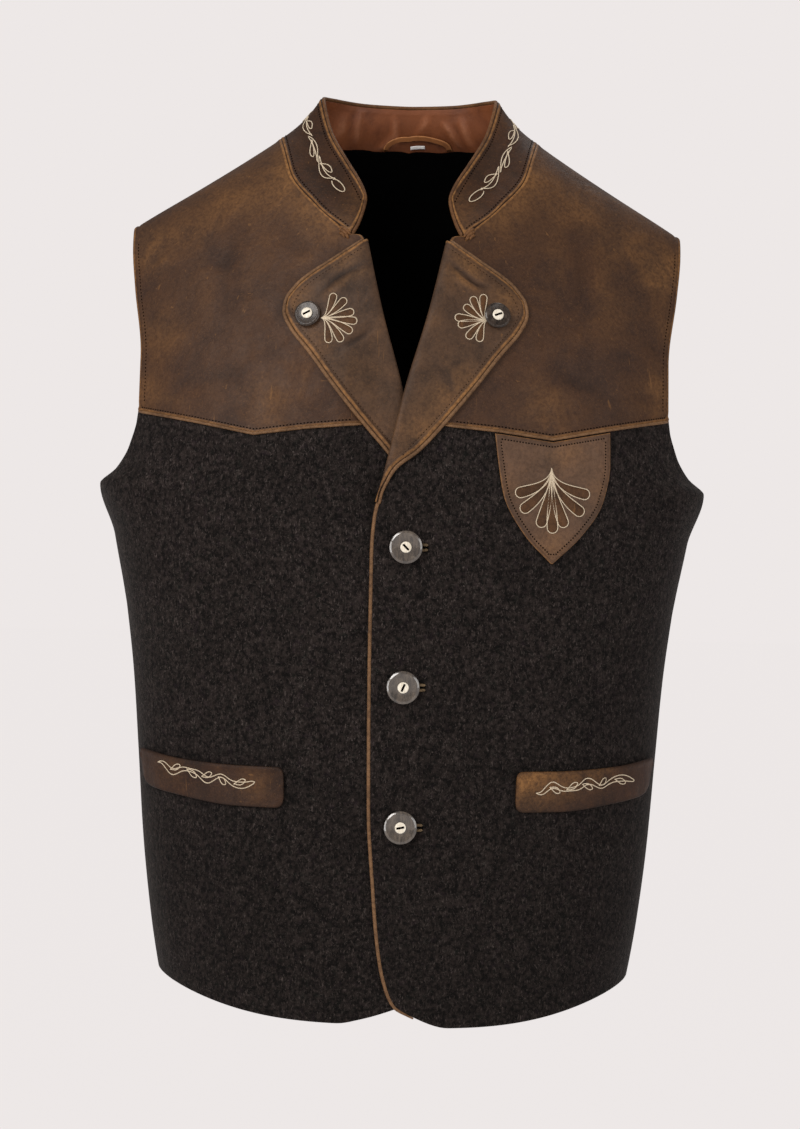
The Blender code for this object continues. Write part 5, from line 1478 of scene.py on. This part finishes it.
@cache
def stitch_maker():
    """The node tree that lays one low-faced stitch on each marked place of a row."""
    nodes = Nodes(bpy.data.node_groups.new("stitch row", "GeometryNodeTree"))
    tree = nodes.tree
    kinds = {"Places": "Geometry", **dict.fromkeys((*Stitch._fields, "Wobble"), "Float"), "Seed": "Int",
             "Thread": "Material"}
    for name, kind in kinds.items():
        tree.interface.new_socket(name=name, in_out="INPUT", socket_type="NodeSocket" + kind)
    tree.interface.new_socket(name="Stitches", in_out="OUTPUT", socket_type="NodeSocketGeometry")
    given = tree.nodes.new("NodeGroupInput").outputs
    size = nodes.add("ShaderNodeCombineXYZ", {0: given["Length"], 1: given["Width"], 2: given["Height"]})
    ball = nodes.add("GeometryNodeMeshUVSphere", {"Segments": 6, "Rings": 4, "Radius": 0.5})
    stitch = nodes.add("GeometryNodeTransform", {"Geometry": ball, "Scale": size})
    along, out = (nodes.add("GeometryNodeInputNamedAttribute", {"Name": mark}, data_type="FLOAT_VECTOR")
                  for mark in ("along", "out"))
    lie = nodes.add("FunctionNodeAxesToRotation", {0: out, 1: along}, primary_axis="Z", secondary_axis="X")
    chance = tree.nodes.new("FunctionNodeRandomValue")
    chance.data_type = "FLOAT"
    least, most = (socket for socket in chance.inputs[:-2] if socket.enabled)
    tree.links.new(nodes.maths("MULTIPLY", given["Wobble"], -1.0), least)
    tree.links.new(given["Wobble"], most)
    tree.links.new(given["Seed"], chance.inputs["Seed"])
    wobble = next(socket for socket in chance.outputs if socket.enabled)
    turn = nodes.add("ShaderNodeCombineXYZ", {2: nodes.maths("ADD", given["Slant"], wobble)})
    turn = nodes.add("FunctionNodeEulerToRotation", {0: turn})
    turned_by = nodes.add("FunctionNodeRotateRotation", {0: lie, 1: turn}, rotation_space="LOCAL")
    placed = nodes.add("GeometryNodeInstanceOnPoints", {"Points": given["Places"], "Instance": stitch,
                                                        "Rotation": turned_by})
    rounded = nodes.add("GeometryNodeSetShadeSmooth", {0: nodes.add("GeometryNodeRealizeInstances", {0: placed})})
    dyed = nodes.add("GeometryNodeSetMaterial", {"Geometry": rounded, "Material": given["Thread"]})
    nodes.add("NodeGroupOutput", {0: dyed})
    return tree


def sewn(name, rows, thread, stitch):
    """Stitches along rows of (points, outward normals), as one mesh."""
    rows = [row for row in rows if len(row[0]) > 1]
    mesh = bpy.data.meshes.new(name)
    mesh.from_pydata(np.concatenate([line for line, _ in rows]), [], [])
    marks = {"along": [unit(np.gradient(line, axis=0)) for line, _ in rows], "out": [out for _, out in rows]}
    for mark, values in marks.items():
        attribute = mesh.attributes.new(mark, "FLOAT_VECTOR", "POINT")
        attribute.data.foreach_set("vector", np.concatenate(values).astype(np.float32).ravel())
    thing = placed(name, mesh)
    step = thing.modifiers.new("stitches", "NODES")
    step.node_group = stitch_maker()
    given = {**stitch._asdict(), "Wobble": 0.06, "Seed": 7, "Thread": thread}
    for socket in step.node_group.interface.items_tree:
        if socket.in_out == "INPUT" and socket.name in given:
            step[socket.identifier] = given[socket.name]
    settled(thing)
    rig.ride(thing, "root")


def surface_of(thing):
    points = [vertex.co for vertex in thing.data.vertices]
    return BVHTree.FromPolygons(points, [face.vertices for face in thing.data.polygons])


DROP_FROM, DROP_REACH = 0.03, 0.06  # how high above the body things are dropped from, and how far
COLLAR_DROP = 0.012


def dropped(surface, starts, towards, lift=0.0):
    """Places dropped onto a surface, as points and the surface's outward normals. A miss is left out."""
    points, outs = [], []
    for start, way in zip(starts, towards):
        place, normal, _, _ = surface.ray_cast(Vector(start), Vector(way), DROP_REACH)
        if place is not None:
            points.append(place + normal * lift)
            outs.append(normal)
    return np.array(points).reshape(-1, 3), np.array(outs).reshape(-1, 3)


def spaced(line, outs, pitch):
    """A line read at even steps."""
    lengths = reach_along(line)
    count = max(2, round(lengths[-1] / pitch))
    at = (np.arange(count) + 0.5) / count * lengths[-1]
    return read_line(at, lengths, line), unit(read_line(at, lengths, outs))


def above_front(side, places):
    """Where to drop a line of (m, z) onto the front from, and which way."""
    _, normals = body(side * places[:, 0], places[:, 1], FRONT)
    return on_front(side, *apart(places), DROP_FROM), -normals


def on_cloth(surface, side, places, pitch, lift=0.0):
    """A row of stitch places along a line of (m, z) on the front of a piece."""
    line, outs = dropped(surface, *above_front(side, places), lift)
    return spaced(line, outs, pitch) if len(line) > 1 else (line, outs)


def fine_line(places, count=120):
    """A line of places read closer together."""
    places = np.asarray(places, float)
    lengths = reach_along(places)
    at = np.linspace(0, lengths[-1], count)
    return read_line(at, lengths, places)


# Embroidery: wavy leaf vines on the collar and the welts, and fans of seven petals on the lapels and the patch

def vine(bends):
    """Lines of a vine along x, one unit a bend: a wavy double stem, a leaf in every bend and a bud at the end."""
    t = even(18)
    lines = [np.array([(-0.55, 0.05), (-0.4, -0.02), (-0.18, -0.05), (0.04, 0.0)]),
             np.array([(-0.58, 0.0), (-0.4, -0.12), (-0.18, -0.13), (0.0, -0.07), (0.14, 0.04)])]
    for bend in range(bends):
        way = 1 if bend % 2 == 0 else -1
        reach = 1.0 + 0.14 * math.sin(2.1 * bend)
        for height, lag in ((0.29 * reach, 0.0), (0.13 * reach, 0.05)):
            wave = np.sin(math.pi * t) * height * (1 + 0.22 * np.cos(math.pi * t + bend))
            lines.append(stacked(bend - 0.04 + lag + 1.07 * t, way * (wave - 0.07)))
        swell = np.sin(math.pi * t**1.6) ** 0.7
        spine = stacked(bend + 0.2 + 0.6 * t, way * (0.03 - 0.2 * t + 0.06 * t**3))
        above = spine + stacked(0.03 * swell, way * 0.07 * swell)
        below = spine - stacked(0.03 * swell, way * 0.08 * swell)
        lines.append(np.concatenate([below, above[::-1][1:]]))
    turn = np.linspace(-0.92 * math.pi, 0.92 * math.pi, 26)
    way = 1 if bends % 2 == 0 else -1
    bud = stacked(bends + 0.31 + 0.3 * np.cos(turn),
                  way * (0.01 + 0.12 * np.sin(turn) + 0.04 * np.cos(turn)))
    return lines + [bud]


def slim_vine(bends):
    """Lines of a slimmer vine: two wavy stems side by side that meet at both ends, and a leaf inside every bend."""
    t = np.linspace(-VINE_LENGTH, bends + 0.45, 26 * bends)
    share = (t - t[0]) / (t[-1] - t[0])
    wave = 0.13 * np.sin(math.pi * t) * (1 + 0.25 * np.cos(2.3 * t)) + 0.03 * np.sin(5.1 * t)
    gap = 0.105 * np.clip(share / 0.08, 0, 1) ** 0.8 * (1 - np.clip((share - 0.93) / 0.07, 0, 1) ** 2.4) ** 0.5
    gap = gap * (1 + 0.35 * np.sin(2.9 * t + 0.6))
    lines = [stacked(t, wave + gap), stacked(t, wave - gap)]
    turn = even(20)
    for bend in range(bends):
        way = 1 if bend % 2 == 0 else -1
        long = 0.62 + 0.1 * math.sin(1.7 * bend)
        swell = np.sin(math.pi * turn**1.5) ** 0.8
        spine = stacked(bend + 0.22 + long * turn, way * (0.08 - 0.26 * turn**1.2))
        leaf = stacked(0.04 * swell, way * 0.115 * swell)
        lines.append(np.concatenate([spine - leaf, (spine + leaf)[::-1][1:]]))
    return lines


def petal(root, bend, tip, width):
    """The two sides of a petal with a narrow root and a round end, along a bent line of (m, z)."""
    t = even(30)[:, None]
    spine = root * (1 - t) ** 2 + 2 * bend * t * (1 - t) + tip * t**2
    along = reach_along(spine)
    round_from = along[-1] - width / 2
    turn = np.linspace(0, math.pi / 2, 10)
    at = np.concatenate([np.linspace(0, round_from, 16)[:-1], round_from + width / 2 * np.sin(turn)])
    half = width / 2 * np.concatenate([np.sin(math.pi / 2 * (at[:15] / round_from) ** 1.3), np.cos(turn)])
    line = read_line(at, along, spine)
    aside = beside(line, 1.0) - line
    return line + aside * half[:, None], line - aside * half[:, None]


# A fan: its root, the way it faces in degrees, how far its petals share a stem, their width and their tips.
Fan = namedtuple("Fan", "x z facing stem width tips")
FANS = {
    "lapel_left": Fan(0.058, -0.1435, 180, 0.26, 0.0052, (
        (0.0548, -0.125), (0.0466, -0.127), (0.0411, -0.1335), (0.0348, -0.1421), (0.0371, -0.1478),
        (0.0437, -0.1569), (0.0522, -0.1588))),
    "lapel_right": Fan(0.0595, -0.144, 180, 0.26, 0.0052, (
        (0.0504, -0.1265), (0.0421, -0.1302), (0.0363, -0.1393), (0.034, -0.1464), (0.0374, -0.1542),
        (0.0444, -0.1608), (0.0536, -0.1617))),
    "patch": Fan(0.1059, -0.2473, -90, 0.42, 0.0076, (
        (0.0804, -0.2659), (0.0845, -0.2783), (0.0982, -0.2894), (0.1075, -0.2935), (0.1164, -0.289),
        (0.1293, -0.2795), (0.1336, -0.2659))),
}


def fan_lines(fan):
    """Both sides of each petal, as (m, z) lines."""
    root = np.array([fan.x, fan.z])
    axis = np.array([math.cos(math.radians(fan.facing)), math.sin(math.radians(fan.facing))])
    for place in fan.tips:
        tip = np.array(place)
        yield petal(root, root + axis * fan.stem * np.linalg.norm(tip - root), tip, fan.width)


def embroidered_fan(name, side, over, thread, pad_leather):
    surface = surface_of(over)
    rows, pads = [], []
    for first, second in fan_lines(FANS[name]):
        loop = np.concatenate([first, second[::-1][1:]])
        rows.append(on_cloth(surface, side, fine_line(loop), *EMBROIDERED))
        across = even(9)
        grid = first[2:-1, None] * (1 - across)[:, None] + second[2:-1, None] * across[:, None]
        found = dropped(surface, *above_front(side, grid.reshape(-1, 2)))
        points, outs = (values.reshape(grid.shape[:2] + (3,)) for values in found)
        length_way = np.sin(math.pi * np.linspace(0, 1, len(grid))) ** 0.5
        dome = 0.0007 * length_way[:, None] * np.sin(math.pi * across) ** 0.7
        pads.append(shell_parts(points + outs * (dome - 0.00005)[..., None], points - outs * 0.0004, "", 0.3))
    sewn("thread_fan_" + name, rows, thread, FAN_STITCH)
    ride(joined("leather_petals_" + name, pads, pad_leather), "brown leather")


COLLAR_COLUMNS, COLLAR_ROWS = 241, 34


def collar_places(stations, rises, lift):
    """Points beside the collar at stations and rises, read from one close grid."""
    all_stations, all_rises = np.linspace(-1, 1, COLLAR_COLUMNS), np.linspace(COLLAR_FOOT, 1, COLLAR_ROWS)
    grid = collar_grid(all_stations, all_rises, lift)
    column = np.interp(stations, all_stations, np.arange(COLLAR_COLUMNS))
    row = np.interp(rises, all_rises, np.arange(COLLAR_ROWS))
    c, r = np.minimum(column.astype(int), COLLAR_COLUMNS - 2), np.minimum(row.astype(int), COLLAR_ROWS - 2)
    u, v = (column - c)[:, None], (row - r)[:, None]
    near = grid[r, c] * (1 - u) + grid[r, c + 1] * u
    return near * (1 - v) + (grid[r + 1, c] * (1 - u) + grid[r + 1, c + 1] * u) * v


def on_collar(surface, stations, rises, pitch, lift=0.0):
    outside = collar_places(stations, rises, COLLAR_DROP)
    towards = unit(collar_places(stations, rises, 0.0) - outside)
    line, outs = dropped(surface, outside, towards, lift)
    return spaced(line, outs, pitch)


Vine = namedtuple("Vine", "start end middle bends height")  # stations, a rise, and the height of one bend in rises
VINE_LENGTH = 0.6  # how far a vine reaches past its first and last bends, in bends
COLLAR_VINES = (Vine(0.415, 0.925, 0.5, 4, 0.6), Vine(-0.4, -0.905, 0.585, 4, 0.6))
WELT_VINE_HEIGHT, WELT_VINE_BENDS = 1.35, 5
WELT_STEPS = 200
WELT_VINES = {
    LEFT: ((0.0991, -0.477), (0.124, -0.4755), (0.1452, -0.4728), (0.1722, -0.469)),
    RIGHT: ((0.1712, -0.4672), (0.1533, -0.469), (0.1319, -0.4731), (0.1105, -0.4767), (0.0985, -0.4781)),
}


def vines(collar, welts, thread):
    surface, rows = surface_of(collar), []
    for run in COLLAR_VINES:
        for line in vine(run.bends):
            line = fine_line(line, 40)
            share = line[:, 0] / (run.bends + VINE_LENGTH)
            stations = run.start + (run.end - run.start) * share
            rows.append(on_collar(surface, stations, run.middle + line[:, 1] * run.height, *EMBROIDERED))
    sewn("thread_vines_collar", rows, thread, VINE_STITCH)
    rows = []
    for side, welt in zip((LEFT, RIGHT), welts):
        surface = surface_of(welt)
        course = fine_line(WELT_VINES[side], WELT_STEPS)
        bends = WELT_VINE_BENDS
        unit_length = np.linalg.norm(np.diff(course, axis=0), axis=1).sum() / (bends + 2 * VINE_LENGTH)
        aside = beside(course, 1.0) - course
        for line in slim_vine(bends):
            line = fine_line(line, 40 if len(line) < 60 else 170)
            at = (line[:, 0] + VINE_LENGTH) / (bends + 2 * VINE_LENGTH) * (WELT_STEPS - 1)
            at = np.clip(at, 0, WELT_STEPS - 1)
            place, sideways = (read_line(at, np.arange(WELT_STEPS), values) for values in (course, aside))
            reach = line[:, 1] * unit_length * WELT_VINE_HEIGHT
            rows.append(on_cloth(surface, side, place + sideways * reach[:, None], *EMBROIDERED))
    sewn("thread_vines_welts", rows, thread, VINE_STITCH)


# Buttons, as shares of the radius and heights in metres
HORN_PROFILE = (
    (0, 0), (0.55, 0), (0.8, 0), (0.9, 0.0004), (0.965, 0.0009), (0.99, 0.0014), (1.0, 0.0017),
    (0.998, 0.002), (0.99, 0.00232), (0.974, 0.00244), (0.935, 0.00266), (0.885, 0.00294), (0.868, 0.00302),
    (0.85, 0.00304), (0.82, 0.003), (0.74, 0.0029), (0.66, 0.0028), (0.56, 0.0027), (0.44, 0.0026),
    (0.4, 0.0026), (0, 0.0026),
)
BONE_PROFILE = (
    (0, 0), (0.9, 0), (1.0, 0.0001), (1.0, 0.0008), (0.985, 0.0011), (0.93, 0.0013), (0.8, 0.0015), (0, 0.0016),
)


def turned(name, profile, radius, finish, place, segments=56):
    """A disc turned about its own axis, set in place."""
    angles = np.linspace(0, 2 * math.pi, segments, endpoint=False)
    ring = stacked(np.cos(angles), np.sin(angles))
    points = [(0, 0, profile[0][1])]
    for share, height in profile[1:-1]:
        points += [(x * share * radius, y * share * radius, height) for x, y in ring]
    points.append((0, 0, profile[-1][1]))
    rings = len(profile) - 2
    index = 1 + np.arange(rings * segments).reshape(rings, segments)
    index = np.concatenate([index, index[:, :1]], axis=1)
    faces = quads(index).tolist()
    last = len(points) - 1
    for i in range(segments):
        faces += [[0, int(index[0, i + 1]), int(index[0, i])], [last, int(index[-1, i]), int(index[-1, i + 1])]]
    made = solid(name, [place @ Vector(point) for point in points], faces, finish)
    made.data.set_sharp_from_angle(angle=math.radians(40))
    return made


def seat(side, m, z, lift, tilt=0.0):
    """Where a disc stands on the front: its Z axis out of the cloth, turned by a tilt in degrees."""
    normal = Vector(body(side * m, z, FRONT)[1])
    level = Vector((0, 0, 1)).cross(normal).normalized()
    turn = Matrix((level, normal.cross(level), normal)).transposed()
    place = Matrix.Translation(on_front(side, m, z, lift)) @ turn.to_4x4()
    return place @ Matrix.Rotation(math.radians(tilt), 4, "Z")


def slotted(disc, place, dark):
    """Cuts the slot across a disc's face; its cut faces take the dark thread's colour as painted shade in the recess.
    """
    half = (0.58 * SLOT_LENGTH, 0.66 * SLOT_WIDTH, SLOT_DEPTH)
    corners = [(x, y, z) for x in (-1, 1) for y in (-1, 1) for z in (-1, 1)]
    points = [place @ Vector((x * half[0], y * half[1], BONE_PROFILE[-1][1] + z * half[2])) for x, y, z in corners]
    faces = [(0, 1, 3, 2), (4, 6, 7, 5), (0, 4, 5, 1), (2, 3, 7, 6), (0, 2, 6, 4), (1, 5, 7, 3)]
    cutter = solid("slot", points, faces, dark)
    cut = disc.modifiers.new("slot", "BOOLEAN")
    cut.object, cut.operation, cut.solver, cut.material_mode = cutter, "DIFFERENCE", "EXACT", "TRANSFER"
    settled(disc)
    disc.data.shade_smooth()
    disc.data.set_sharp_from_angle(angle=math.radians(35))
    bpy.data.objects.remove(cutter)


def button(name, radius, tilt, side, m, z, lift, horn, bone, dark):
    place = seat(side, m, z, lift, tilt)
    ride(turned("horn_" + name, HORN_PROFILE, radius, horn, place), "horn", name)
    place = place @ Matrix.Translation((0, 0, HORN_PROFILE[-1][1] + SEAM_GAP / 3))
    disc = turned("bone_" + name, BONE_PROFILE, DISC_RADIUS, bone, place, 40)
    slotted(disc, place, dark)
    ride(disc, "bone", name.replace("button", "button_disc"))


HOLE_SET_IN = 0.0032  # how far a buttonhole's outer end is drawn in under the button


def buttonhole(number, z, leather, dark):
    """A bound buttonhole: a cord along each side, square at its outer end, with a black strip between them as painted
    shade in the opening.
    """
    along = np.linspace(-1, 1, 30) * HOLE_HALF_LENGTH - HOLE_SET_IN
    bars = []
    for way in (1, -1):
        across = z + way * (HOLE_HALF_WIDTH * 1.2 - 0.0002 * ease((along - along[-1] + 0.004) / 0.004))
        path = on_front(LEFT, HOLE_CENTRE_X + along, across, HOLE_CORD_RADIUS * 0.7)
        bars.append(tube_parts(path, HOLE_CORD_RADIUS * 1.02, sides=12, edge=0.0022))
    made = joined(f"leather_buttonhole_{number}", bars, leather)
    ride(made, "brown leather", f"buttonhole_{number}")
    path = on_front(LEFT, HOLE_CENTRE_X + along, z + 0 * along, 0.0002)
    _, out = body(HOLE_CENTRE_X + along, z + 0 * along, FRONT)
    # A flat black strip, as painted shade in the opening between the cords.
    made = tube(f"slit_{number}", path, 0.0013, dark, sides=8, flat=0.25, out=out)
    ride(made, "black lining")


# Folds bunched at the collar seam's end: where each starts and ends along the seam, how far below it and how thick.
Fold = namedtuple("Fold", "start end below radius")
GORGE_FOLDS = table(Fold, (
    (-0.0004, 0.0088, 0.0012, 0.0014), (0.0002, 0.0078, 0.0032, 0.0014), (0.0014, 0.0062, 0.0052, 0.0012),
    (-0.0012, 0.0022, 0.0042, 0.0012)))


def gorge_folds(side, leather):
    """The bunched end of the collar and yoke seam, above the lapel's corner."""
    ends = np.array([0.93, 1.0])
    seam_x, root = neck_seam(ends)
    ends = stacked(seam_x, below_shoulder(seam_x, root))
    along = unit(ends[0] - ends[1])
    below = np.array([along[1], -along[0]])
    t = even(14)[:, None]
    rise = np.sin(math.pi * t[:, 0])
    parts = []
    for fold in GORGE_FOLDS:
        places = ends[1] + along * (fold.start + (fold.end - fold.start) * t)
        places = places + below * (fold.below - 0.0007 * rise[:, None])
        path = on_front(side, *apart(places), 0.0001 + 0.0009 * rise)
        parts.append(tube_parts(path, fold.radius * (0.5 + 0.5 * rise**0.7), sides=10, edge=0.0016))
    made = joined("leather_gorge_folds_" + WORD[side],
                  [part[:4] + (part[4] + 0.5,) for part in parts], leather)
    ride(made, "brown leather")


SEAM_IN_LAPEL, SEAM_IN_PATCH, SEAM_IN_ARMHOLE, SEAM_ABOVE_YOKE = 0.0048, 0.0036, 0.0047, 0.0034


def seams(yokes, lapels, patch, collar, dark, brown):
    """The visible rows of stitching, brown on the lapels and dark elsewhere."""
    rows, lapel_rows = [], []
    top, outer = outline(LAPEL_TOP_EDGE), outline(LAPEL_OUTER_EDGE)
    around = np.concatenate([top(np.linspace(0.1, 0.94, 40)), outer(np.linspace(0.02, 0.92, 110))])
    around = smoothed(beside(around, -SEAM_IN_LAPEL), 14)
    for side, yoke, lapel in zip((LEFT, RIGHT), yokes, lapels):
        lapel_rows.append(on_cloth(surface_of(lapel), side, around, 0.0027, -0.0001))
        surface = surface_of(yoke)
        m = np.linspace(0.037, YOKE_SEAM[-1].x - 0.003, 100)
        rows.append(on_cloth(surface, side, stacked(m, yoke_seam(m) + SEAM_ABOVE_YOKE), 0.0025))
        z = np.linspace(-0.203, -0.083, 60)
        rows.append(on_cloth(surface, side, stacked(armhole_x(z, FRONT) - SEAM_IN_ARMHOLE, z), 0.0027))
    surface = surface_of(patch)
    left, right = outline(PATCH_LEFT_EDGE), outline(PATCH_RIGHT_EDGE)
    share = np.linspace(0.05, 0.955, 50)
    round_it = np.concatenate([left(share), right(share[::-1])])
    start, end = left(np.zeros(1))[0, 0], right(np.zeros(1))[0, 0]
    x = np.linspace(end - 0.004, start + 0.004, 40)
    shut = stacked(x, yoke_seam(x) - PATCH_BELOW_SEAM - SEAM_IN_PATCH)
    round_it = beside(round_it, SEAM_IN_PATCH)
    dots = [on_cloth(surface, LEFT, round_it, 0.0022), on_cloth(surface, LEFT, shut, 0.0022)]
    sewn("thread_patch_seam", dots, dark, PATCH_STITCH)
    surface = surface_of(collar)
    stations = np.linspace(-0.985, 0.985, 420)
    rows.append(on_collar(surface, stations, 0.085 + 0 * stations, 0.0026))
    rows.append(on_collar(surface, stations, 0.885 - 0.1 * ease((np.abs(stations) - 0.85) / 0.15), 0.0026))
    sewn("thread_seams", rows, dark, SEAM_STITCH)
    sewn("thread_lapel_seams", lapel_rows, brown, LAPEL_STITCH)


# Each shell as cut: its name, width, length and area laid flat, how it is held, what it rests on and what is
# sewn to it.
Cut = namedtuple("Cut", "piece width length area held rests_on with_pieces")
CUTS = table(Cut, (
    ("felt_front_left", 0.318, 0.437, 0.112, "hung", ("lining_back",),
     ("leather_front_piping", "leather_buttonhole_1", "leather_buttonhole_2", "leather_buttonhole_3")),
    ("felt_front_right", 0.318, 0.435, 0.112, "hung", ("felt_front_left",), ()),
    ("felt_back", 0.543, 0.664, 0.2879, "hung", ("lining_back",), ()),
    ("lining_back", 0.536, 0.661, 0.2838, "hung", ("felt_back",), ()),
    ("leather_yoke_left", 0.22, 0.303, 0.0398, "hung", ("felt_front_left",),
     ("leather_yoke_piping_left", "leather_gorge_folds_left")),
    ("leather_yoke_right", 0.22, 0.303, 0.0398, "hung", ("felt_front_right",),
     ("leather_yoke_piping_right", "leather_gorge_folds_right")),
    ("leather_lapel_left", 0.105, 0.2, 0.0083, "folded", ("leather_yoke_left",),
     ("leather_lapel_piping_left", "leather_petals_lapel_left", "thread_fan_lapel_left", "thread_lapel_seams")),
    ("leather_lapel_right", 0.099, 0.182, 0.0082, "folded", ("leather_yoke_right",),
     ("leather_lapel_piping_right", "leather_petals_lapel_right", "thread_fan_lapel_right")),
    ("leather_collar", 0.518, 0.049, 0.017, "stretched", ("leather_yoke_left", "leather_yoke_right"),
     ("leather_collar_cord", "thread_vines_collar", "thread_seams")),
    ("leather_collar_facing", 0.51, 0.048, 0.0165, "stretched", ("leather_collar",), ()),
    ("leather_patch", 0.091, 0.112, 0.0059, "laid", ("felt_front_left",),
     ("leather_petals_patch", "thread_fan_patch", "thread_patch_seam")),
    ("leather_pocket_welt_left", 0.139, 0.031, 0.0037, "laid", ("felt_front_left",), ("thread_vines_welts",)),
    ("leather_pocket_welt_right", 0.144, 0.031, 0.0039, "laid", ("felt_front_right",), ()),
    ("leather_hanger_loop", 0.065, 0.01, 0.00028, "folded", ("leather_collar_facing",), ()),
    ("label", 0.012, 0.01, 0.00004, "laid", ("leather_collar_facing",), ())))


def declare():
    for cut in CUTS:
        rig.sheet(bpy.data.objects[cut.piece], flat=(cut.width, cut.length), held=cut.held, rests_on=cut.rests_on,
                 area=cut.area, with_pieces=cut.with_pieces)


def soft_light(name, place, power, size, tint, height=None, aim=(0, 0, -0.32)):
    lamp = bpy.data.lights.new(name, "AREA")
    lamp.energy, lamp.size, lamp.color = power, size, tint
    if height:
        lamp.shape, lamp.size_y = "RECTANGLE", height
    thing = placed(name, lamp)
    thing.location = place
    thing.rotation_euler = (Vector(aim) - Vector(place)).to_track_quat("-Z", "Y").to_euler()


PALE = (0.848, 0.806, 0.798, 1.0)
FLOOR_REACH, FLOOR_HEIGHT = 30, -1.1
CAMERA_DISTANCE, CAMERA_HEIGHT, CAMERA_ROLL = 2.2, -0.318, math.radians(1.15)
FILM = 36  # the film's height in millimetres
LINES = 1129  # the lines of the picture
LINE = 0.00075  # what one line covers at the vest, in metres


def studio():
    """A pale floor and surround, soft lamps and the camera."""
    scene = bpy.context.scene
    scene.view_settings.view_transform = "Standard"
    scene.world = bpy.data.worlds.new("studio")
    scene.world.use_nodes = True
    sky = Nodes(scene.world.node_tree)
    sky.tree.nodes.clear()
    strength = sky.between(sky.add("ShaderNodeLightPath"), 0.0, 1.0, 0.44, 1.0)
    surround = sky.add("ShaderNodeBackground", {"Color": PALE, "Strength": strength})
    sky.add("ShaderNodeOutputWorld", {"Surface": surround})
    pale = Finish("pale floor", (0.02, 0.02, 0.02)).done(
        Specular_IOR_Level=0.0, Roughness=1.0, Emission_Color=PALE, Emission_Strength=0.985)
    corners = [(x * FLOOR_REACH, y * FLOOR_REACH, FLOOR_HEIGHT) for x, y in ((-1, -1), (1, -1), (1, 1), (-1, 1))]
    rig.stage(solid("floor", corners, [(0, 1, 2, 3)], pale))
    soft_light("key", (-1.5, -2.3, 1.25), 57, 1.3, (1.0, 0.97, 0.94))
    soft_light("side", (-2.1, -1.75, -0.75), 25, 0.62, (1.0, 0.99, 0.98), height=2.4)
    soft_light("fill", (1.9, -2.2, 0.2), 25, 1.6, (1.0, 0.99, 0.98))
    soft_light("top", (0.3, 0.9, 1.6), 13, 1.2, (1.0, 1.0, 1.0))
    lens = bpy.data.cameras.new("camera")
    lens.sensor_fit, lens.sensor_height = "VERTICAL", FILM
    lens.lens = FILM * CAMERA_DISTANCE / (LINES * LINE)
    lens.shift_x = -0.5 / LINES
    scene.camera = placed("camera", lens)
    scene.camera.matrix_world = (Matrix.Translation((0, -CAMERA_DISTANCE, CAMERA_HEIGHT))
                                 @ Matrix.Rotation(math.pi / 2, 4, "X") @ Matrix.Rotation(CAMERA_ROLL, 4, "Z"))


def build():
    felt, lining = felt_finish(), lining_finish()
    leather = {name: leather_finish(name, *row, **rest) for name, (*row, rest) in LEATHERS.items()}
    horn = horn_finish("buffalo horn", (0.019, 0.013, 0.0086), (0.078, 0.0585, 0.042), (0.14, 0.113, 0.084))
    dark_horn = horn_finish("dark horn", (0.009, 0.0058, 0.0042), (0.04, 0.0275, 0.02), (0.095, 0.074, 0.058),
                            coat=0.06, shine=0.22)
    bone, tape = bone_finish(), tape_finish()
    cream = thread_finish("cream embroidery thread", (0.66, 0.56, 0.42), (0.36, 0.28, 0.185), 0.6, 0.15)
    dark = thread_finish("dark brown thread", (0.005, 0.003, 0.002), (0.002, 0.0014, 0.001), 0.9)
    brown = thread_finish("brown waxed thread", (0.03, 0.0165, 0.0095), (0.016, 0.0085, 0.005), 0.6)
    yokes, lapels, welts = [], [], []
    for side, word in WORD.items():
        felt_front(side, felt)
        yokes.append(leather_yoke(side, leather["waxed brown"]))
        lapels.append(leather_lapel(side, leather["lapel"]))
        welts.append(leather_welt(side, leather[word + " welt"]))
        gorge_folds(side, leather["collar cord"])
        button("lapel_button_" + word, LAPEL_BUTTON_RADIUS, LAPEL_SLOT_TILT[side], side, *LAPEL_BUTTON[side],
               LAPEL_BUTTON_HEIGHT, dark_horn, bone, dark)
    felt_back(felt, lining)
    collar = leather_collar(leather["collar"], leather["red-brown facing"])
    collar_cord(leather["collar cord"])
    leather_cords(leather["cord"])
    patch = leather_patch(leather["patch"])
    neck_trims(leather["hanger loop"], tape)
    lift = 2 * (HOLE_CORD_RADIUS + SEAM_GAP)
    for number, (z, tilt) in enumerate(FRONT_BUTTONS, 1):
        buttonhole(number, z, leather["buttonhole"], lining)
        button(f"button_{number}", FRONT_BUTTON_RADIUS, tilt, LEFT, FRONT_BUTTON_X, z, lift, horn, bone, dark)
    for side, lapel in zip(WORD, lapels):
        embroidered_fan("lapel_" + WORD[side], side, lapel, cream, leather["petal"])
    embroidered_fan("patch", LEFT, patch, cream, leather["petal"])
    vines(collar, welts, cream)
    seams(yokes, lapels, patch, collar, dark, brown)
    declare()
    studio()


build()
with open("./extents.json", "w") as sizes:
    json.dump([[list(map(float, corner)) for corner in box] for box in (frame_box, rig.bounds())], sizes)
